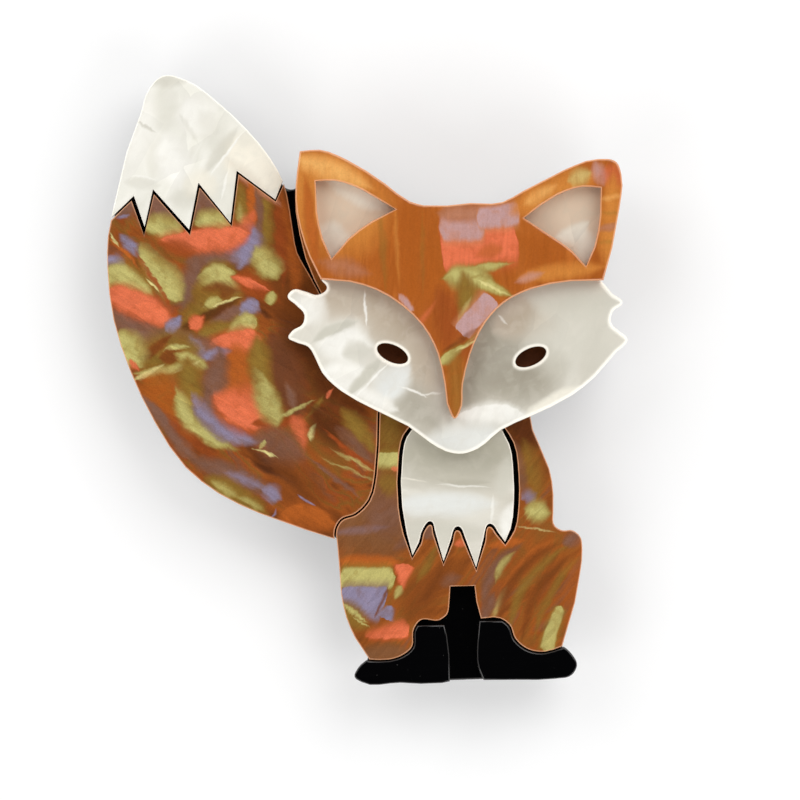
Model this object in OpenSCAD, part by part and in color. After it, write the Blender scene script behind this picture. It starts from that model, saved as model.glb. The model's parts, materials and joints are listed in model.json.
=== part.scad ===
// Fox brooch: a seated fox cut from flat sheets and glued up in layers on a black backing plate.
// It lies face up on the pin fitting at its back. +X is the viewer's right, +Y is up the fox and
// +Z points out of its face. The origin is on the table, under the middle of the brooch.

/* [Body] */
// Width of the seated body at its haunches
body_w = 24.6; // [20:0.1:30]
// Height of the body from the soles to the neck
body_h = 27; // [23:0.1:32]
// Gap between the body and each foot
foot_gap = 0.15; // [0.1:0.05:0.4]

/* [Head] */
// Width of the head from cheek tuft to cheek tuft
head_w = 34; // [28:0.1:40]
// Height of the head from the chin to the tops of the ears
head_h = 30; // [25:0.1:36]
// How far the chin hangs down over the neck
chin_lap = 4.05; // [3:0.05:6]
// Shift of the head to the right of the body's middle
head_shift = -0.2; // [-2:0.1:2]
// How far the forehead mask stands out past the face plate under it
mask_overhang = 0.3; // [0.1:0.05:0.6]
// How far the face plate stands out past the back of the head
face_overhang = 0.5; // [0.2:0.05:1]

/* [Eyes] */
// Length of an eye hole
eye_l = 3.3; // [2.4:0.1:4.4]
// Width of an eye hole
eye_w = 1.7; // [1.2:0.1:2.4]
// Slope of an eye hole, down towards the nose
eye_tilt = 25; // [0:1:45]

/* [Tail] */
// Width of the part of the tail that shows
tail_w = 27; // [22:0.1:32]
// Height of the tail with its tip
tail_h = 46.4; // [40:0.1:54]
// Height of the tail's lowest point above the soles
tail_rise = 14.4; // [12:0.1:17]
// How far the tail reaches in past the body's left haunch
tail_tuck = 4; // [3:0.1:6]
// Gap between the tail and the body
seam_gap = 0.18; // [0.1:0.02:0.4]
// Gap between the teeth of the white tip and the notches in the tail
tooth_gap = 0.45; // [0.3:0.05:0.7]

/* [Bib] */
// Width of the white bib
bib_w = 11.3; // [9:0.1:14]
// Height of the white bib with its teeth
bib_h = 14; // [11:0.1:17]
// Distance from the neck down to the bib's top edge
bib_drop = 1.45; // [1:0.05:3]
// Shift of the bib to the right of the body's middle
bib_shift = -0.2; // [-1:0.1:1]
// Gap around the bib
bib_gap = 0.4; // [0.3:0.05:0.6]

/* [Sheets] */
// Thickness of the black backing plate
backing_t = 1.6; // [1:0.1:3]
// Thickness of the sheet that the tail, body, bib and feet are cut from
figure_t = 2; // [1.2:0.1:3]
// Thickness of the face plate
face_t = 1.8; // [1:0.1:3]
// Thickness of the forehead mask
mask_t = 1.6; // [1:0.1:3]
// Layer of glue between two sheets
glue_t = 0.05; // [0.03:0.01:0.2]
// How far the backing plate's edge lies behind the edge of the figure
backing_inset = 0.2; // [0.1:0.05:0.5]
// Half width of the widest gap that the backing plate closes
gap_closing = 0.8; // [0.6:0.1:1.5]

/* [Pin] */
// Length of the pin fitting
pin_l = 28; // [22:0.5:34]
// Width of its bar, knuckle and catch
pin_w = 5; // [4:0.1:7]
// Height of the fitting from the table to the backing plate
pin_h = 4; // [3.4:0.1:5]
// Thickness of its bar
bar_t = 0.8; // [0.5:0.1:1.2]
// Diameter of the stem that goes through the cloth
stem_d = 1; // [0.7:0.1:1.2]
// Length of the knuckle that holds the stem
knuckle_l = 4; // [3:0.1:6]
// Thickness of the knuckle's two ears
ear_t = 0.7; // [0.5:0.1:1]
// Diameter of the barrel between the ears
barrel_d = 2.4; // [1.6:0.1:2.8]
// Length of the catch at the stem's point
catch_l = 3; // [2.4:0.1:5]
// Height of the catch's slot, which opens upwards on the fox
catch_slot = 1.3; // [1.2:0.1:1.8]
// Height of the fitting above the neck
pin_above_neck = 5.7; // [3:0.1:9]
// Distance from the body's middle to the middle of the fitting, to the left
pin_left = 9; // [5:0.1:12]

/* [Smoothness] */
// Largest turn between two facets of an outline, in degrees
facet_turn = 8; // [4:1:15]

/* [Hidden] */

// Columns of an outline's table: place across, place up, whether the outline turns sharply there,
// and for the bib how wide the gap round it is there, as a share of its named gap
ACROSS = 0;
UP = 1;
TURN = 2;
GAP = 3;
ROUND = 0;
SHARP = 1;

// Further columns of the zigzag's table: where the tail's own zigzag lies from the white one,
// to the right and down, as shares of the gap between them
GAP_ACROSS = 2;
GAP_DOWN = 3;

// Sizes and places of the pieces, from the soles and the body's middle
body_size = [body_w, body_h];
head_size = [head_w, head_h];
tail_size = [tail_w, tail_h];
bib_size = [bib_w, bib_h];
body_at = [0, 0];
head_at = [head_shift, body_h - chin_lap];
tail_at = [tail_tuck - body_w / 2 - tail_w, tail_rise];
bib_at = [bib_shift, body_h - bib_drop - bib_h];
pin_at = [-pin_left, body_h + pin_above_neck];

// Levels of the sheets
backing_z = pin_h + glue_t;
figure_z = backing_z + backing_t + glue_t;
face_z = figure_z + figure_t + glue_t;
mask_z = face_z + face_t + glue_t;

// Left side of the body, from the hidden neck down the seam with the tail and round the haunch
LEFT_SIDE = [
    [-0.323, 1.056, SHARP],
    [-0.328, 0.881, ROUND],
    [-0.337, 0.774, ROUND],
    [-0.364, 0.676, ROUND],
    [-0.421, 0.622, ROUND],
    [-0.480, 0.600, ROUND],
    [-0.500, 0.567, ROUND],
    [-0.497, 0.511, ROUND],
    [-0.488, 0.418, ROUND],
    [-0.482, 0.333, ROUND],
    [-0.461, 0.244, ROUND],
    [-0.425, 0.167, ROUND],
    [-0.366, 0.087, SHARP],
];

// Underside of the body, with the notch for the legs
UNDERSIDE = [
    [-0.287, 0.087, ROUND],
    [-0.230, 0.104, ROUND],
    [-0.195, 0.131, ROUND],
    [-0.185, 0.200, ROUND],
    [-0.161, 0.231, ROUND],
    [-0.079, 0.234, ROUND],
    [-0.051, 0.254, ROUND],
    [-0.041, 0.300, ROUND],
    [-0.037, 0.358, SHARP],
    [0.061, 0.360, SHARP],
    [0.069, 0.300, ROUND],
    [0.087, 0.239, SHARP],
    [0.165, 0.240, ROUND],
    [0.203, 0.216, ROUND],
    [0.228, 0.163, ROUND],
    [0.269, 0.130, ROUND],
    [0.348, 0.116, ROUND],
    [0.418, 0.136, SHARP],
];

// Right side of the body, from the haunch up to the hidden neck
RIGHT_SIDE = [
    [0.441, 0.207, ROUND],
    [0.470, 0.298, ROUND],
    [0.491, 0.407, ROUND],
    [0.500, 0.496, ROUND],
    [0.490, 0.544, ROUND],
    [0.461, 0.565, ROUND],
    [0.417, 0.566, ROUND],
    [0.388, 0.583, ROUND],
    [0.382, 0.641, ROUND],
    [0.382, 0.700, ROUND],
    [0.366, 0.793, ROUND],
    [0.331, 0.870, ROUND],
    [0.299, 0.937, ROUND],
    [0.278, 1.067, SHARP],
];

// Feet, in the body's shares. Where they reach in under the body they are trimmed to it.
LEFT_FOOT = [
    [-0.039, 0.006, SHARP],
    [-0.041, 0.104, ROUND],
    [-0.050, 0.174, ROUND],
    [-0.061, 0.215, SHARP],
    [-0.171, 0.213, SHARP],
    [-0.209, 0.152, ROUND],
    [-0.303, 0.111, ROUND],
    [-0.380, 0.083, ROUND],
    [-0.415, 0.052, ROUND],
    [-0.426, 0.022, ROUND],
    [-0.400, 0.004, ROUND],
    [-0.242, 0.001, ROUND],
    [-0.071, 0.000, ROUND],
];
RIGHT_FOOT = [
    [0.098, 0.011, SHARP],
    [0.077, 0.056, ROUND],
    [0.072, 0.141, ROUND],
    [0.081, 0.230, SHARP],
    [0.218, 0.230, SHARP],
    [0.270, 0.150, ROUND],
    [0.348, 0.133, ROUND],
    [0.417, 0.137, ROUND],
    [0.457, 0.107, ROUND],
    [0.478, 0.067, ROUND],
    [0.457, 0.030, ROUND],
    [0.392, 0.016, ROUND],
    [0.246, 0.012, ROUND],
];

// Face with its cheek tufts, down the left cheek, round the chin and up the right cheek.
// Its first and last rows are hidden under the mask.
LEFT_CHEEK = [
    [-0.360, 0.605, SHARP],
    [-0.400, 0.577, SHARP],
    [-0.384, 0.552, ROUND],
    [-0.409, 0.529, ROUND],
    [-0.448, 0.540, ROUND],
    [-0.482, 0.546, ROUND],
    [-0.499, 0.525, ROUND],
    [-0.475, 0.495, ROUND],
    [-0.450, 0.462, ROUND],
    [-0.455, 0.432, ROUND],
    [-0.487, 0.407, ROUND],
    [-0.497, 0.387, ROUND],
    [-0.475, 0.371, ROUND],
    [-0.438, 0.355, ROUND],
    [-0.418, 0.318, ROUND],
    [-0.398, 0.270, ROUND],
    [-0.340, 0.207, ROUND],
    [-0.250, 0.150, ROUND],
];
CHIN = [
    [-0.146, 0.092, ROUND],
    [-0.081, 0.037, ROUND],
    [-0.035, 0.008, ROUND],
    [0.016, 0.000, ROUND],
    [0.060, 0.017, ROUND],
    [0.126, 0.078, ROUND],
];
RIGHT_CHEEK = [
    [0.213, 0.124, ROUND],
    [0.333, 0.192, ROUND],
    [0.404, 0.256, ROUND],
    [0.463, 0.333, ROUND],
    [0.498, 0.385, ROUND],
    [0.477, 0.406, ROUND],
    [0.450, 0.438, ROUND],
    [0.456, 0.472, ROUND],
    [0.484, 0.503, ROUND],
    [0.454, 0.533, ROUND],
    [0.428, 0.568, SHARP],
    [0.390, 0.612, SHARP],
];

// Forehead mask: up the left temple, over the ears and back along the brow and the nose
TEMPLES_AND_EARS = [
    [-0.402, 0.579, SHARP],
    [-0.434, 0.652, ROUND],
    [-0.462, 0.748, ROUND],
    [-0.476, 0.845, ROUND],
    [-0.471, 0.938, ROUND],
    [-0.463, 1.005, SHARP],
    [-0.404, 1.010, ROUND],
    [-0.325, 0.977, ROUND],
    [-0.213, 0.898, ROUND],
    [-0.140, 0.838, ROUND],
    [-0.099, 0.825, ROUND],
    [0.037, 0.833, ROUND],
    [0.131, 0.836, ROUND],
    [0.190, 0.872, ROUND],
    [0.310, 0.942, ROUND],
    [0.410, 0.979, ROUND],
    [0.466, 0.968, ROUND],
    [0.480, 0.928, ROUND],
    [0.474, 0.812, ROUND],
    [0.453, 0.682, ROUND],
    [0.427, 0.576, SHARP],
];
BROW_AND_NOSE = [
    [0.331, 0.573, ROUND],
    [0.213, 0.546, ROUND],
    [0.134, 0.500, ROUND],
    [0.081, 0.435, ROUND],
    [0.037, 0.330, ROUND],
    [0.016, 0.232, ROUND],
    [0.006, 0.138, ROUND],
    [-0.009, 0.117, ROUND],
    [-0.023, 0.138, ROUND],
    [-0.039, 0.232, ROUND],
    [-0.059, 0.332, ROUND],
    [-0.103, 0.425, ROUND],
    [-0.163, 0.492, ROUND],
    [-0.240, 0.545, ROUND],
    [-0.316, 0.571, ROUND],
];

// Windows in the mask through which the white inside of each ear shows
LEFT_EAR = [
    [-0.416, 0.905, SHARP],
    [-0.360, 0.907, ROUND],
    [-0.281, 0.877, ROUND],
    [-0.182, 0.812, SHARP],
    [-0.252, 0.772, ROUND],
    [-0.322, 0.713, ROUND],
    [-0.369, 0.648, SHARP],
    [-0.394, 0.712, ROUND],
    [-0.412, 0.805, ROUND],
];
RIGHT_EAR = [
    [0.419, 0.883, SHARP],
    [0.366, 0.887, ROUND],
    [0.290, 0.858, ROUND],
    [0.194, 0.783, SHARP],
    [0.272, 0.725, ROUND],
    [0.337, 0.673, ROUND],
    [0.376, 0.623, SHARP],
    [0.400, 0.688, ROUND],
    [0.417, 0.795, ROUND],
];

// Middles of the eye holes
EYES = [
    [-0.191, 0.333],
    [0.215, 0.322],
];

// Edge of the back of the head that shows beside the left temple, closed under the mask
TEMPLE_EDGE = [
    [-0.452, 0.958, SHARP],
    [-0.474, 0.885, ROUND],
    [-0.476, 0.808, ROUND],
    [-0.465, 0.732, ROUND],
    [-0.447, 0.650, ROUND],
    [-0.422, 0.580, ROUND],
    [-0.398, 0.528, SHARP],
    [-0.316, 0.528, SHARP],
    [-0.316, 0.958, SHARP],
];

// Area under the left cheek that belongs to the tail, not to the back of the head
TAIL_UNDER_CHEEK = [
    [-0.551, 0.558, SHARP],
    [-0.412, 0.558, SHARP],
    [-0.375, 0.458, ROUND],
    [-0.316, 0.318, ROUND],
    [-0.254, 0.185, ROUND],
    [-0.226, 0.078, SHARP],
    [-0.226, -0.088, SHARP],
    [-0.551, -0.088, SHARP],
];

// Tail with its tip: down its inner side, then in under the head and body, where it is trimmed
TAIL_INNER = [
    [0.207, 0.998, ROUND],
    [0.296, 0.989, ROUND],
    [0.411, 0.942, ROUND],
    [0.522, 0.881, ROUND],
    [0.604, 0.823, ROUND],
    [0.656, 0.768, ROUND],
    [0.677, 0.716, ROUND],
    [0.692, 0.658, ROUND],
    [0.706, 0.618, ROUND],
    [0.733, 0.588, ROUND],
    [0.763, 0.558, ROUND],
    [0.878, 0.450, ROUND],
    [1.007, 0.300, ROUND],
    [1.044, 0.170, ROUND],
    [0.978, 0.052, ROUND],
    [0.878, -0.004, SHARP],
];

// Outer sweep of the tail, from its low end up to the tip
TAIL_OUTER = [
    [0.839, 0.001, ROUND],
    [0.735, 0.020, ROUND],
    [0.567, 0.055, ROUND],
    [0.415, 0.098, ROUND],
    [0.293, 0.154, ROUND],
    [0.180, 0.250, ROUND],
    [0.089, 0.360, ROUND],
    [0.026, 0.472, ROUND],
    [0.003, 0.584, ROUND],
    [0.005, 0.653, ROUND],
    [0.026, 0.716, ROUND],
    [0.074, 0.834, ROUND],
    [0.126, 0.917, ROUND],
    [0.159, 0.973, ROUND],
];

// Zigzag between the white tip and the tail, from left to right, past both edges
TIP_TEETH = [
    [-0.030, 0.666, 0.0, 0.5],
    [0.101, 0.740, -0.5, 1.1],
    [0.141, 0.673, -0.1, 2.0],
    [0.172, 0.754, 0.2, 1.1],
    [0.306, 0.667, 0.2, 1.2],
    [0.340, 0.768, 0.3, 1.1],
    [0.459, 0.682, 0.3, 0.8],
    [0.482, 0.794, 0.4, 0.8],
    [0.625, 0.732, 0.1, 0.5],
    [0.682, 0.815, 0.4, 1.0],
];
// Height above the tail at which the zigzag's area is closed
TIP_TOP = 1.1;

// Bib: down its left side, along its four teeth and up its right side
BIB_LEFT = [
    [-0.397, 0.993, SHARP, 0.9],
    [-0.450, 0.932, ROUND, 0.9],
    [-0.488, 0.789, ROUND, 0.9],
    [-0.501, 0.611, ROUND, 0.9],
    [-0.490, 0.432, ROUND, 0.9],
    [-0.450, 0.246, ROUND, 0.8],
];
BIB_TEETH = [
    [-0.398, 0.086, SHARP, 0.8],
    [-0.344, 0.175, ROUND, 0.6],
    [-0.304, 0.279, ROUND, 0.6],
    [-0.242, 0.331, ROUND, 0.9],
    [-0.194, 0.246, ROUND, 0.6],
    [-0.123, 0.043, SHARP, 0.8],
    [-0.066, 0.182, ROUND, 0.6],
    [0.007, 0.294, ROUND, 1.0],
    [0.072, 0.204, ROUND, 0.6],
    [0.165, 0.000, SHARP, 0.8],
    [0.222, 0.182, ROUND, 0.6],
    [0.297, 0.313, ROUND, 0.8],
    [0.364, 0.246, ROUND, 0.6],
    [0.421, 0.184, SHARP, 0.8],
];
BIB_RIGHT = [
    [0.470, 0.275, ROUND, 1.0],
    [0.499, 0.454, ROUND, 1.2],
    [0.496, 0.668, ROUND, 1.25],
    [0.459, 0.882, ROUND, 1.1],
    [0.395, 0.982, SHARP, 0.9],
];

// Outlines of the pieces as points
body_points = outline(concat(LEFT_SIDE, UNDERSIDE, RIGHT_SIDE), body_size, body_at);
left_foot_points = outline(LEFT_FOOT, body_size, body_at);
right_foot_points = outline(RIGHT_FOOT, body_size, body_at);
face_points = outline(concat(LEFT_CHEEK, CHIN, RIGHT_CHEEK), head_size, head_at);
mask_points = outline(concat(TEMPLES_AND_EARS, BROW_AND_NOSE), head_size, head_at);
tail_points = outline(concat(TAIL_INNER, TAIL_OUTER), tail_size, tail_at);
bib_rows = concat(BIB_LEFT, BIB_TEETH, BIB_RIGHT);
bib_points = outline(bib_rows, bib_size, bib_at);
window_points = outline_around(bib_rows, bib_size, bib_at, bib_gap);

// Middle of the whole brooch, which is put over the origin
figure_points = concat(body_points, left_foot_points, right_foot_points, face_points, mask_points, tail_points);
figure_middle = [middle([for (p = figure_points) p.x]), middle([for (p = figure_points) p.y])];

// Value halfway between the lowest and the highest of a list
function middle(values) = (min(values) + max(values)) / 2;

// Unit vector along v
function unit(v) = v / norm(v);

// Item i of a closed list
function item(list, i) = list[(i + len(list)) % len(list)];

// A table's row as a point
function place(row, size, corner) = corner + [row[ACROSS] * size.x, row[UP] * size.y];

// Direction of the outline at point i, seen from the stretch after it (1) or before it (-1).
// At a round point it leans to the nearer neighbour, and at a sharp one it follows its own stretch.
function heading(points, turns, i, side) =
    let (back = item(points, i) - item(points, i - 1))
    let (ahead = item(points, i + 1) - item(points, i))
    item(turns, i) == SHARP
        ? unit(side > 0 ? ahead : back)
        : unit(unit(back) * norm(ahead) + unit(ahead) * norm(back));

// Angle between two unit vectors
function angle_between(a, b) = acos(max(-1, min(1, a * b)));

// Point at share s of a smooth curve from a to b that starts along v and ends along w
function along(a, b, v, w, s) =
    a * (1 + 2 * s) * (1 - s) ^ 2 + b * s ^ 2 * (3 - 2 * s) + v * s * (1 - s) ^ 2 - w * s ^ 2 * (1 - s);

// Points of the stretch from point i up to the next, with more of them where it bends more
function stretch(points, turns, i) =
    let (a = item(points, i))
    let (b = item(points, i + 1))
    let (reach = norm(b - a))
    let (start = heading(points, turns, i, 1))
    let (end = heading(points, turns, i + 1, -1))
    let (bend = angle_between(start, unit(b - a)) + angle_between(end, unit(b - a)))
    let (steps = max(1, ceil(bend / facet_turn)))
    [for (k = [0 : steps - 1]) along(a, b, start * reach, end * reach, k / steps)];

// Closed outline through points
function curve(points, turns) = [for (i = [0 : len(points) - 1]) each stretch(points, turns, i)];

// Closed outline through a table's rows, which are shares of a size, from a corner
function outline(rows, size, corner) =
    curve([for (row = rows) place(row, size, corner)], [for (row = rows) row[TURN]]);

// Direction that points out of an outline at point i, where the outline runs counterclockwise
function outward(points, turns, i) =
    let (way = unit(heading(points, turns, i, -1) + heading(points, turns, i, 1)))
    [way.y, -way.x];

// The same outline as outline() gives, but standing off by each row's share of a gap
function outline_around(rows, size, corner, gap) =
    let (points = [for (row = rows) place(row, size, corner)])
    let (turns = [for (row = rows) row[TURN]])
    curve([for (i = [0 : len(rows) - 1]) points[i] + rows[i][GAP] * gap * outward(points, turns, i)], turns);

// Puts what is drawn from the soles and the body's middle over the origin
module centred() {
    translate([-figure_middle.x, -figure_middle.y, 0])
        children();
}

// Sheet of a thickness that lies at a level
module sheet(level, thickness) {
    translate([0, 0, level])
        linear_extrude(height = thickness)
            children();
}

// Back of the head: the head's own outline drawn in, without what lies over the tail
module head_back_plan() {
    difference() {
        offset(delta = -face_overhang) {
            polygon(face_points);
            polygon(mask_points);
        }
        polygon(outline(TAIL_UNDER_CHEEK, head_size, head_at));
    }
    polygon(outline(TEMPLE_EDGE, head_size, head_at));
}

// Body with the neck and the back of the head, without the window for the bib
module body_plan() {
    polygon(body_points);
    head_back_plan();
}

// Everything above the white tip's zigzag, or above the tail's own where the gap is given
module above_teeth_plan(gap = 0) {
    line = [for (row = TIP_TEETH)
        place(row, tail_size, tail_at) + gap * [row[GAP_ACROSS], -row[GAP_DOWN]]];
    top = tail_at.y + TIP_TOP * tail_h;
    polygon(concat(line, [[line[len(line) - 1].x, top], [line[0].x, top]]));
}

// Tail with its tip, trimmed to the body
module whole_tail_plan() {
    difference() {
        polygon(tail_points);
        offset(delta = seam_gap)
            body_plan();
    }
}

// Area of both feet, the gap between them and the notch above it
module legs_plan() {
    hull() {
        polygon(left_foot_points);
        polygon(right_foot_points);
        polygon([for (row = UNDERSIDE) place(row, body_size, body_at)]);
    }
}

module foot_plan(points) {
    difference() {
        polygon(points);
        offset(delta = foot_gap)
            body_plan();
    }
}

// Outline of the whole figure with its gaps closed, drawn in by the inset
module backing_plan() {
    offset(r = -gap_closing - backing_inset, $fn = 24)
        offset(r = gap_closing, $fn = 24) {
            body_plan();
            whole_tail_plan();
            legs_plan();
        }
}

module backing_plate() {
    color("black")
        centred()
            sheet(backing_z, backing_t)
                backing_plan();
}

module tail() {
    color("peru")
        centred()
            sheet(figure_z, figure_t)
                difference() {
                    whole_tail_plan();
                    above_teeth_plan(tooth_gap);
                }
}

module tail_tip() {
    color("ivory")
        centred()
            sheet(figure_z, figure_t)
                intersection() {
                    whole_tail_plan();
                    above_teeth_plan();
                }
}

module body() {
    color("chocolate")
        centred()
            sheet(figure_z, figure_t)
                difference() {
                    body_plan();
                    polygon(window_points);
                }
}

module chest_bib() {
    color("ivory")
        centred()
            sheet(figure_z, figure_t)
                polygon(bib_points);
}

module left_foot() {
    color("dimgray")
        centred()
            sheet(figure_z, figure_t)
                foot_plan(left_foot_points);
}

module right_foot() {
    color("dimgray")
        centred()
            sheet(figure_z, figure_t)
                foot_plan(right_foot_points);
}

module eye_holes() {
    for (eye = EYES)
        translate(place(eye, head_size, head_at))
            rotate(sign(eye.x) * eye_tilt)
                scale([eye_l / eye_w, 1])
                    circle(d = eye_w, $fn = 32);
}

module face_plate() {
    color("whitesmoke")
        centred()
            sheet(face_z, face_t)
                difference() {
                    union() {
                        polygon(face_points);
                        offset(delta = -mask_overhang)
                            polygon(mask_points);
                    }
                    eye_holes();
                }
}

module forehead_mask() {
    color("sandybrown")
        centred()
            sheet(mask_z, mask_t)
                difference() {
                    polygon(mask_points);
                    polygon(outline(LEFT_EAR, head_size, head_at));
                    polygon(outline(RIGHT_EAR, head_size, head_at));
                }
}

// Bent plate at the stem's root: two ears with the barrel between them
module knuckle(stem_z) {
    for (side = [-1, 1])
        translate([0, side * (pin_w - ear_t) / 2 - ear_t / 2, 0])
            cube([knuckle_l, ear_t, pin_h - bar_t / 2]);
    translate([knuckle_l / 2, (pin_w - ear_t) / 2, stem_z])
        rotate([90, 0, 0])
            cylinder(h = pin_w - ear_t, d = barrel_d, $fn = 32);
}

// Hook that takes the stem's point in a slot, whose closed end holds the stem
module catch_hook(stem_z) {
    difference() {
        translate([0, -pin_w / 2, 0])
            cube([catch_l, pin_w, pin_h - bar_t / 2]);
        translate([-catch_l / 2, -stem_d / 4, stem_z - catch_slot / 2])
            cube([2 * catch_l, pin_w, catch_slot]);
    }
}

// Pin fitting in one piece: the bar on the plate, the knuckle, the stem and the catch
module brooch_pin() {
    stem_z = (pin_h - bar_t) / 2;
    color("silver")
        centred()
            translate([pin_at.x - pin_l / 2, pin_at.y, 0])
                union() {
                    translate([0, -pin_w / 2, pin_h - bar_t])
                        cube([pin_l, pin_w, bar_t]);
                    knuckle(stem_z);
                    translate([pin_l - catch_l, 0, 0])
                        catch_hook(stem_z);
                    translate([knuckle_l / 2, 0, stem_z])
                        rotate([0, 90, 0])
                            cylinder(h = pin_l - knuckle_l / 2 - catch_l / 3, d = stem_d, $fn = 32);
                }
}

brooch_pin();
backing_plate();
tail();
tail_tip();
body();
chest_bib();
left_foot();
right_foot();
face_plate();
forehead_mask();
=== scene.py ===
# %% [markdown]
# # A layered acetate fox brooch
#
# The real brooch is cut with a saw from sheets of cellulose acetate: marbled copper, creased white
# pearl and plain black. The pieces are polished and glued up in layers, so the fox is a stack of flat
# plates with bright rounded rims and thin black gaps between them. The plates' outlines come from the
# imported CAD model. This script gives them their polished rims and their marbling, and adds the light,
# the camera and the table that the brooch lies on.

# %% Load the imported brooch
import json
import math
from collections import namedtuple

import bmesh
import bpy
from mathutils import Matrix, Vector

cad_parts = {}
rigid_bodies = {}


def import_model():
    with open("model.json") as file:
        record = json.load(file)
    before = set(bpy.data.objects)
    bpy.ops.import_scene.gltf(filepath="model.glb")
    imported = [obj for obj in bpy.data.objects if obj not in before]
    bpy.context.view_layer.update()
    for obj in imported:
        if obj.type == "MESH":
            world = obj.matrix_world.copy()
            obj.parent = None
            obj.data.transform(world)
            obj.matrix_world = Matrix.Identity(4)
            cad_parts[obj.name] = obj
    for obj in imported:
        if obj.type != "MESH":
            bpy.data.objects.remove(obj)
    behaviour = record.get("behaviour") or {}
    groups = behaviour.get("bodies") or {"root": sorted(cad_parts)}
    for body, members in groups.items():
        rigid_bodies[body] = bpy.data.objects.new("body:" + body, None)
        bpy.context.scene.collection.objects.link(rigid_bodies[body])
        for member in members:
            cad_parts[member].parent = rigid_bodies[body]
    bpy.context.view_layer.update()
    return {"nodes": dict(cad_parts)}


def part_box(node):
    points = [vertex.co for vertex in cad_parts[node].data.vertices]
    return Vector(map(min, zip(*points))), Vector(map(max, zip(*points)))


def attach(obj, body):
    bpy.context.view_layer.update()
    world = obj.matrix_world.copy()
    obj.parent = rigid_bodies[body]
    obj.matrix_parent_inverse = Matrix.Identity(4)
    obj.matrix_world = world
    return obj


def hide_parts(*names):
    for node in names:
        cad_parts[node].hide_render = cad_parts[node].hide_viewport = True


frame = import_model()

MM = 0.001
print("pieces in the frame:", sorted(frame["nodes"]))

# %% [markdown]
# ## Helpers for shader nodes
#
# Every colour here comes from shader nodes that are built in code. These helpers make a node, feed its
# inputs and give back its output, so that a chain of nodes reads like a formula.

# %% Small helpers for shader nodes
def srgb(red, green, blue):
    """Colour as it is seen on a screen, 0 to 255, turned to the linear values of a shader."""
    tones = [tone / 255 for tone in (red, green, blue)]
    return (*[t / 12.92 if t <= 0.04045 else ((t + 0.055) / 1.055) ** 2.4 for t in tones], 1.0)


def feed(tree, value, socket):
    """Links an output to a socket, or sets the socket's own value."""
    if isinstance(value, bpy.types.NodeSocket):
        tree.links.new(value, socket)
    else:
        socket.default_value = value


def fill(tree, node, **values):
    """Feeds a node's inputs by name, with underscores for spaces."""
    for title, value in values.items():
        feed(tree, value, node.inputs[title.replace("_", " ")])
    return node


def add_node(tree, kind, **values):
    """New shader node with its inputs fed."""
    return fill(tree, tree.nodes.new("ShaderNode" + kind), **values)


def calculation(tree, kind, operation, values):
    """Node for one step of arithmetic."""
    step = add_node(tree, kind)
    step.operation = operation
    for value, socket in zip(values, step.inputs):
        feed(tree, value, socket)
    return step


def maths(tree, operation, *values, clamp=False):
    """One step of arithmetic with numbers."""
    step = calculation(tree, "Math", operation, values)
    step.use_clamp = clamp
    return step.outputs[0]


def vectors(tree, operation, *values):
    """One step of arithmetic with vectors, which gives a number for a dot product."""
    step = calculation(tree, "VectorMath", operation, values)
    return step.outputs["Value" if operation == "DOT_PRODUCT" else "Vector"]


def blend(tree, share, under, over, mode="MIX"):
    """Lays one colour over another by a share."""
    step = add_node(tree, "Mix")
    step.data_type = "RGBA"
    step.blend_type = mode
    return fill(tree, step, Factor=share, A=under, B=over).outputs["Result"]


def noise(tree, place, scale, detail=2.0, distortion=0.0, output="Fac"):
    """Cloudy value around 0.5, or a cloudy colour."""
    step = add_node(tree, "TexNoise", Vector=place, Scale=scale, Detail=detail, Distortion=distortion)
    return step.outputs[output]


def ramp(tree, value, low, high):
    """Share from 0 at the low value to 1 at the high one, which needs no clamping."""
    step = add_node(tree, "MapRange", Value=value, From_Min=low, From_Max=high)
    step.interpolation_type = "SMOOTHSTEP"
    step.clamp = False
    return step.outputs["Result"]


def coloured(tree, value, stops):
    """Colour that a value from 0 to 1 has on a scale of stops, each a place and a screen colour."""
    step = add_node(tree, "ValToRGB", Fac=value)
    scale = step.color_ramp.elements
    while len(scale) < len(stops):
        scale.new(1.0)
    for mark, (spot, *tones) in zip(scale, stops):
        mark.position = spot
        mark.color = srgb(*tones)
    return step.outputs["Color"]


def new_group(name, vector_outputs, value_outputs, **inputs):
    """Empty node group: its tree, its inputs and its output node.

    Each input is named with its default, which tells its kind.
    """
    tree = bpy.data.node_groups.new(name, "ShaderNodeTree")
    vector, number = "NodeSocketVector", "NodeSocketFloat"
    for title, value in inputs.items():
        kind = vector if isinstance(value, tuple) else number
        socket = tree.interface.new_socket(
            title.replace("_", " "), in_out="INPUT", socket_type=kind
        )
        socket.default_value = value
    for kind, titles in ((vector, vector_outputs), (number, value_outputs)):
        for title in titles:
            tree.interface.new_socket(title, in_out="OUTPUT", socket_type=kind)
    return tree, tree.nodes.new("NodeGroupInput").outputs, tree.nodes.new("NodeGroupOutput")


def group_node(tree, group, **values):
    """Outputs of a node group that is placed and fed."""
    step = add_node(tree, "Group")
    step.node_tree = group
    return fill(tree, step, **values).outputs


def new_material(name):
    """Material with its node tree and its shader."""
    material = bpy.data.materials.new(name)
    material.use_nodes = True
    return material, material.node_tree, material.node_tree.nodes["Principled BSDF"]


print("copper as linear values:", [round(tone, 3) for tone in srgb(150, 85, 30)])

# %% [markdown]
# ## The camera
#
# The brooch was photographed from straight above, and from so far away that no plate shows its side.
# A short lens close by would show the sides and shift the upper layers outwards, so the camera stands
# almost a metre off with a long lens. It sees a square of 80 mm.

# %% Camera straight above the face
VIEW_ACROSS = 80 * MM
VIEW_MIDDLE = (3.29 * MM, -2.0 * MM)
CAMERA_DISTANCE = 900 * MM
SENSOR = 36.0

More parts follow.
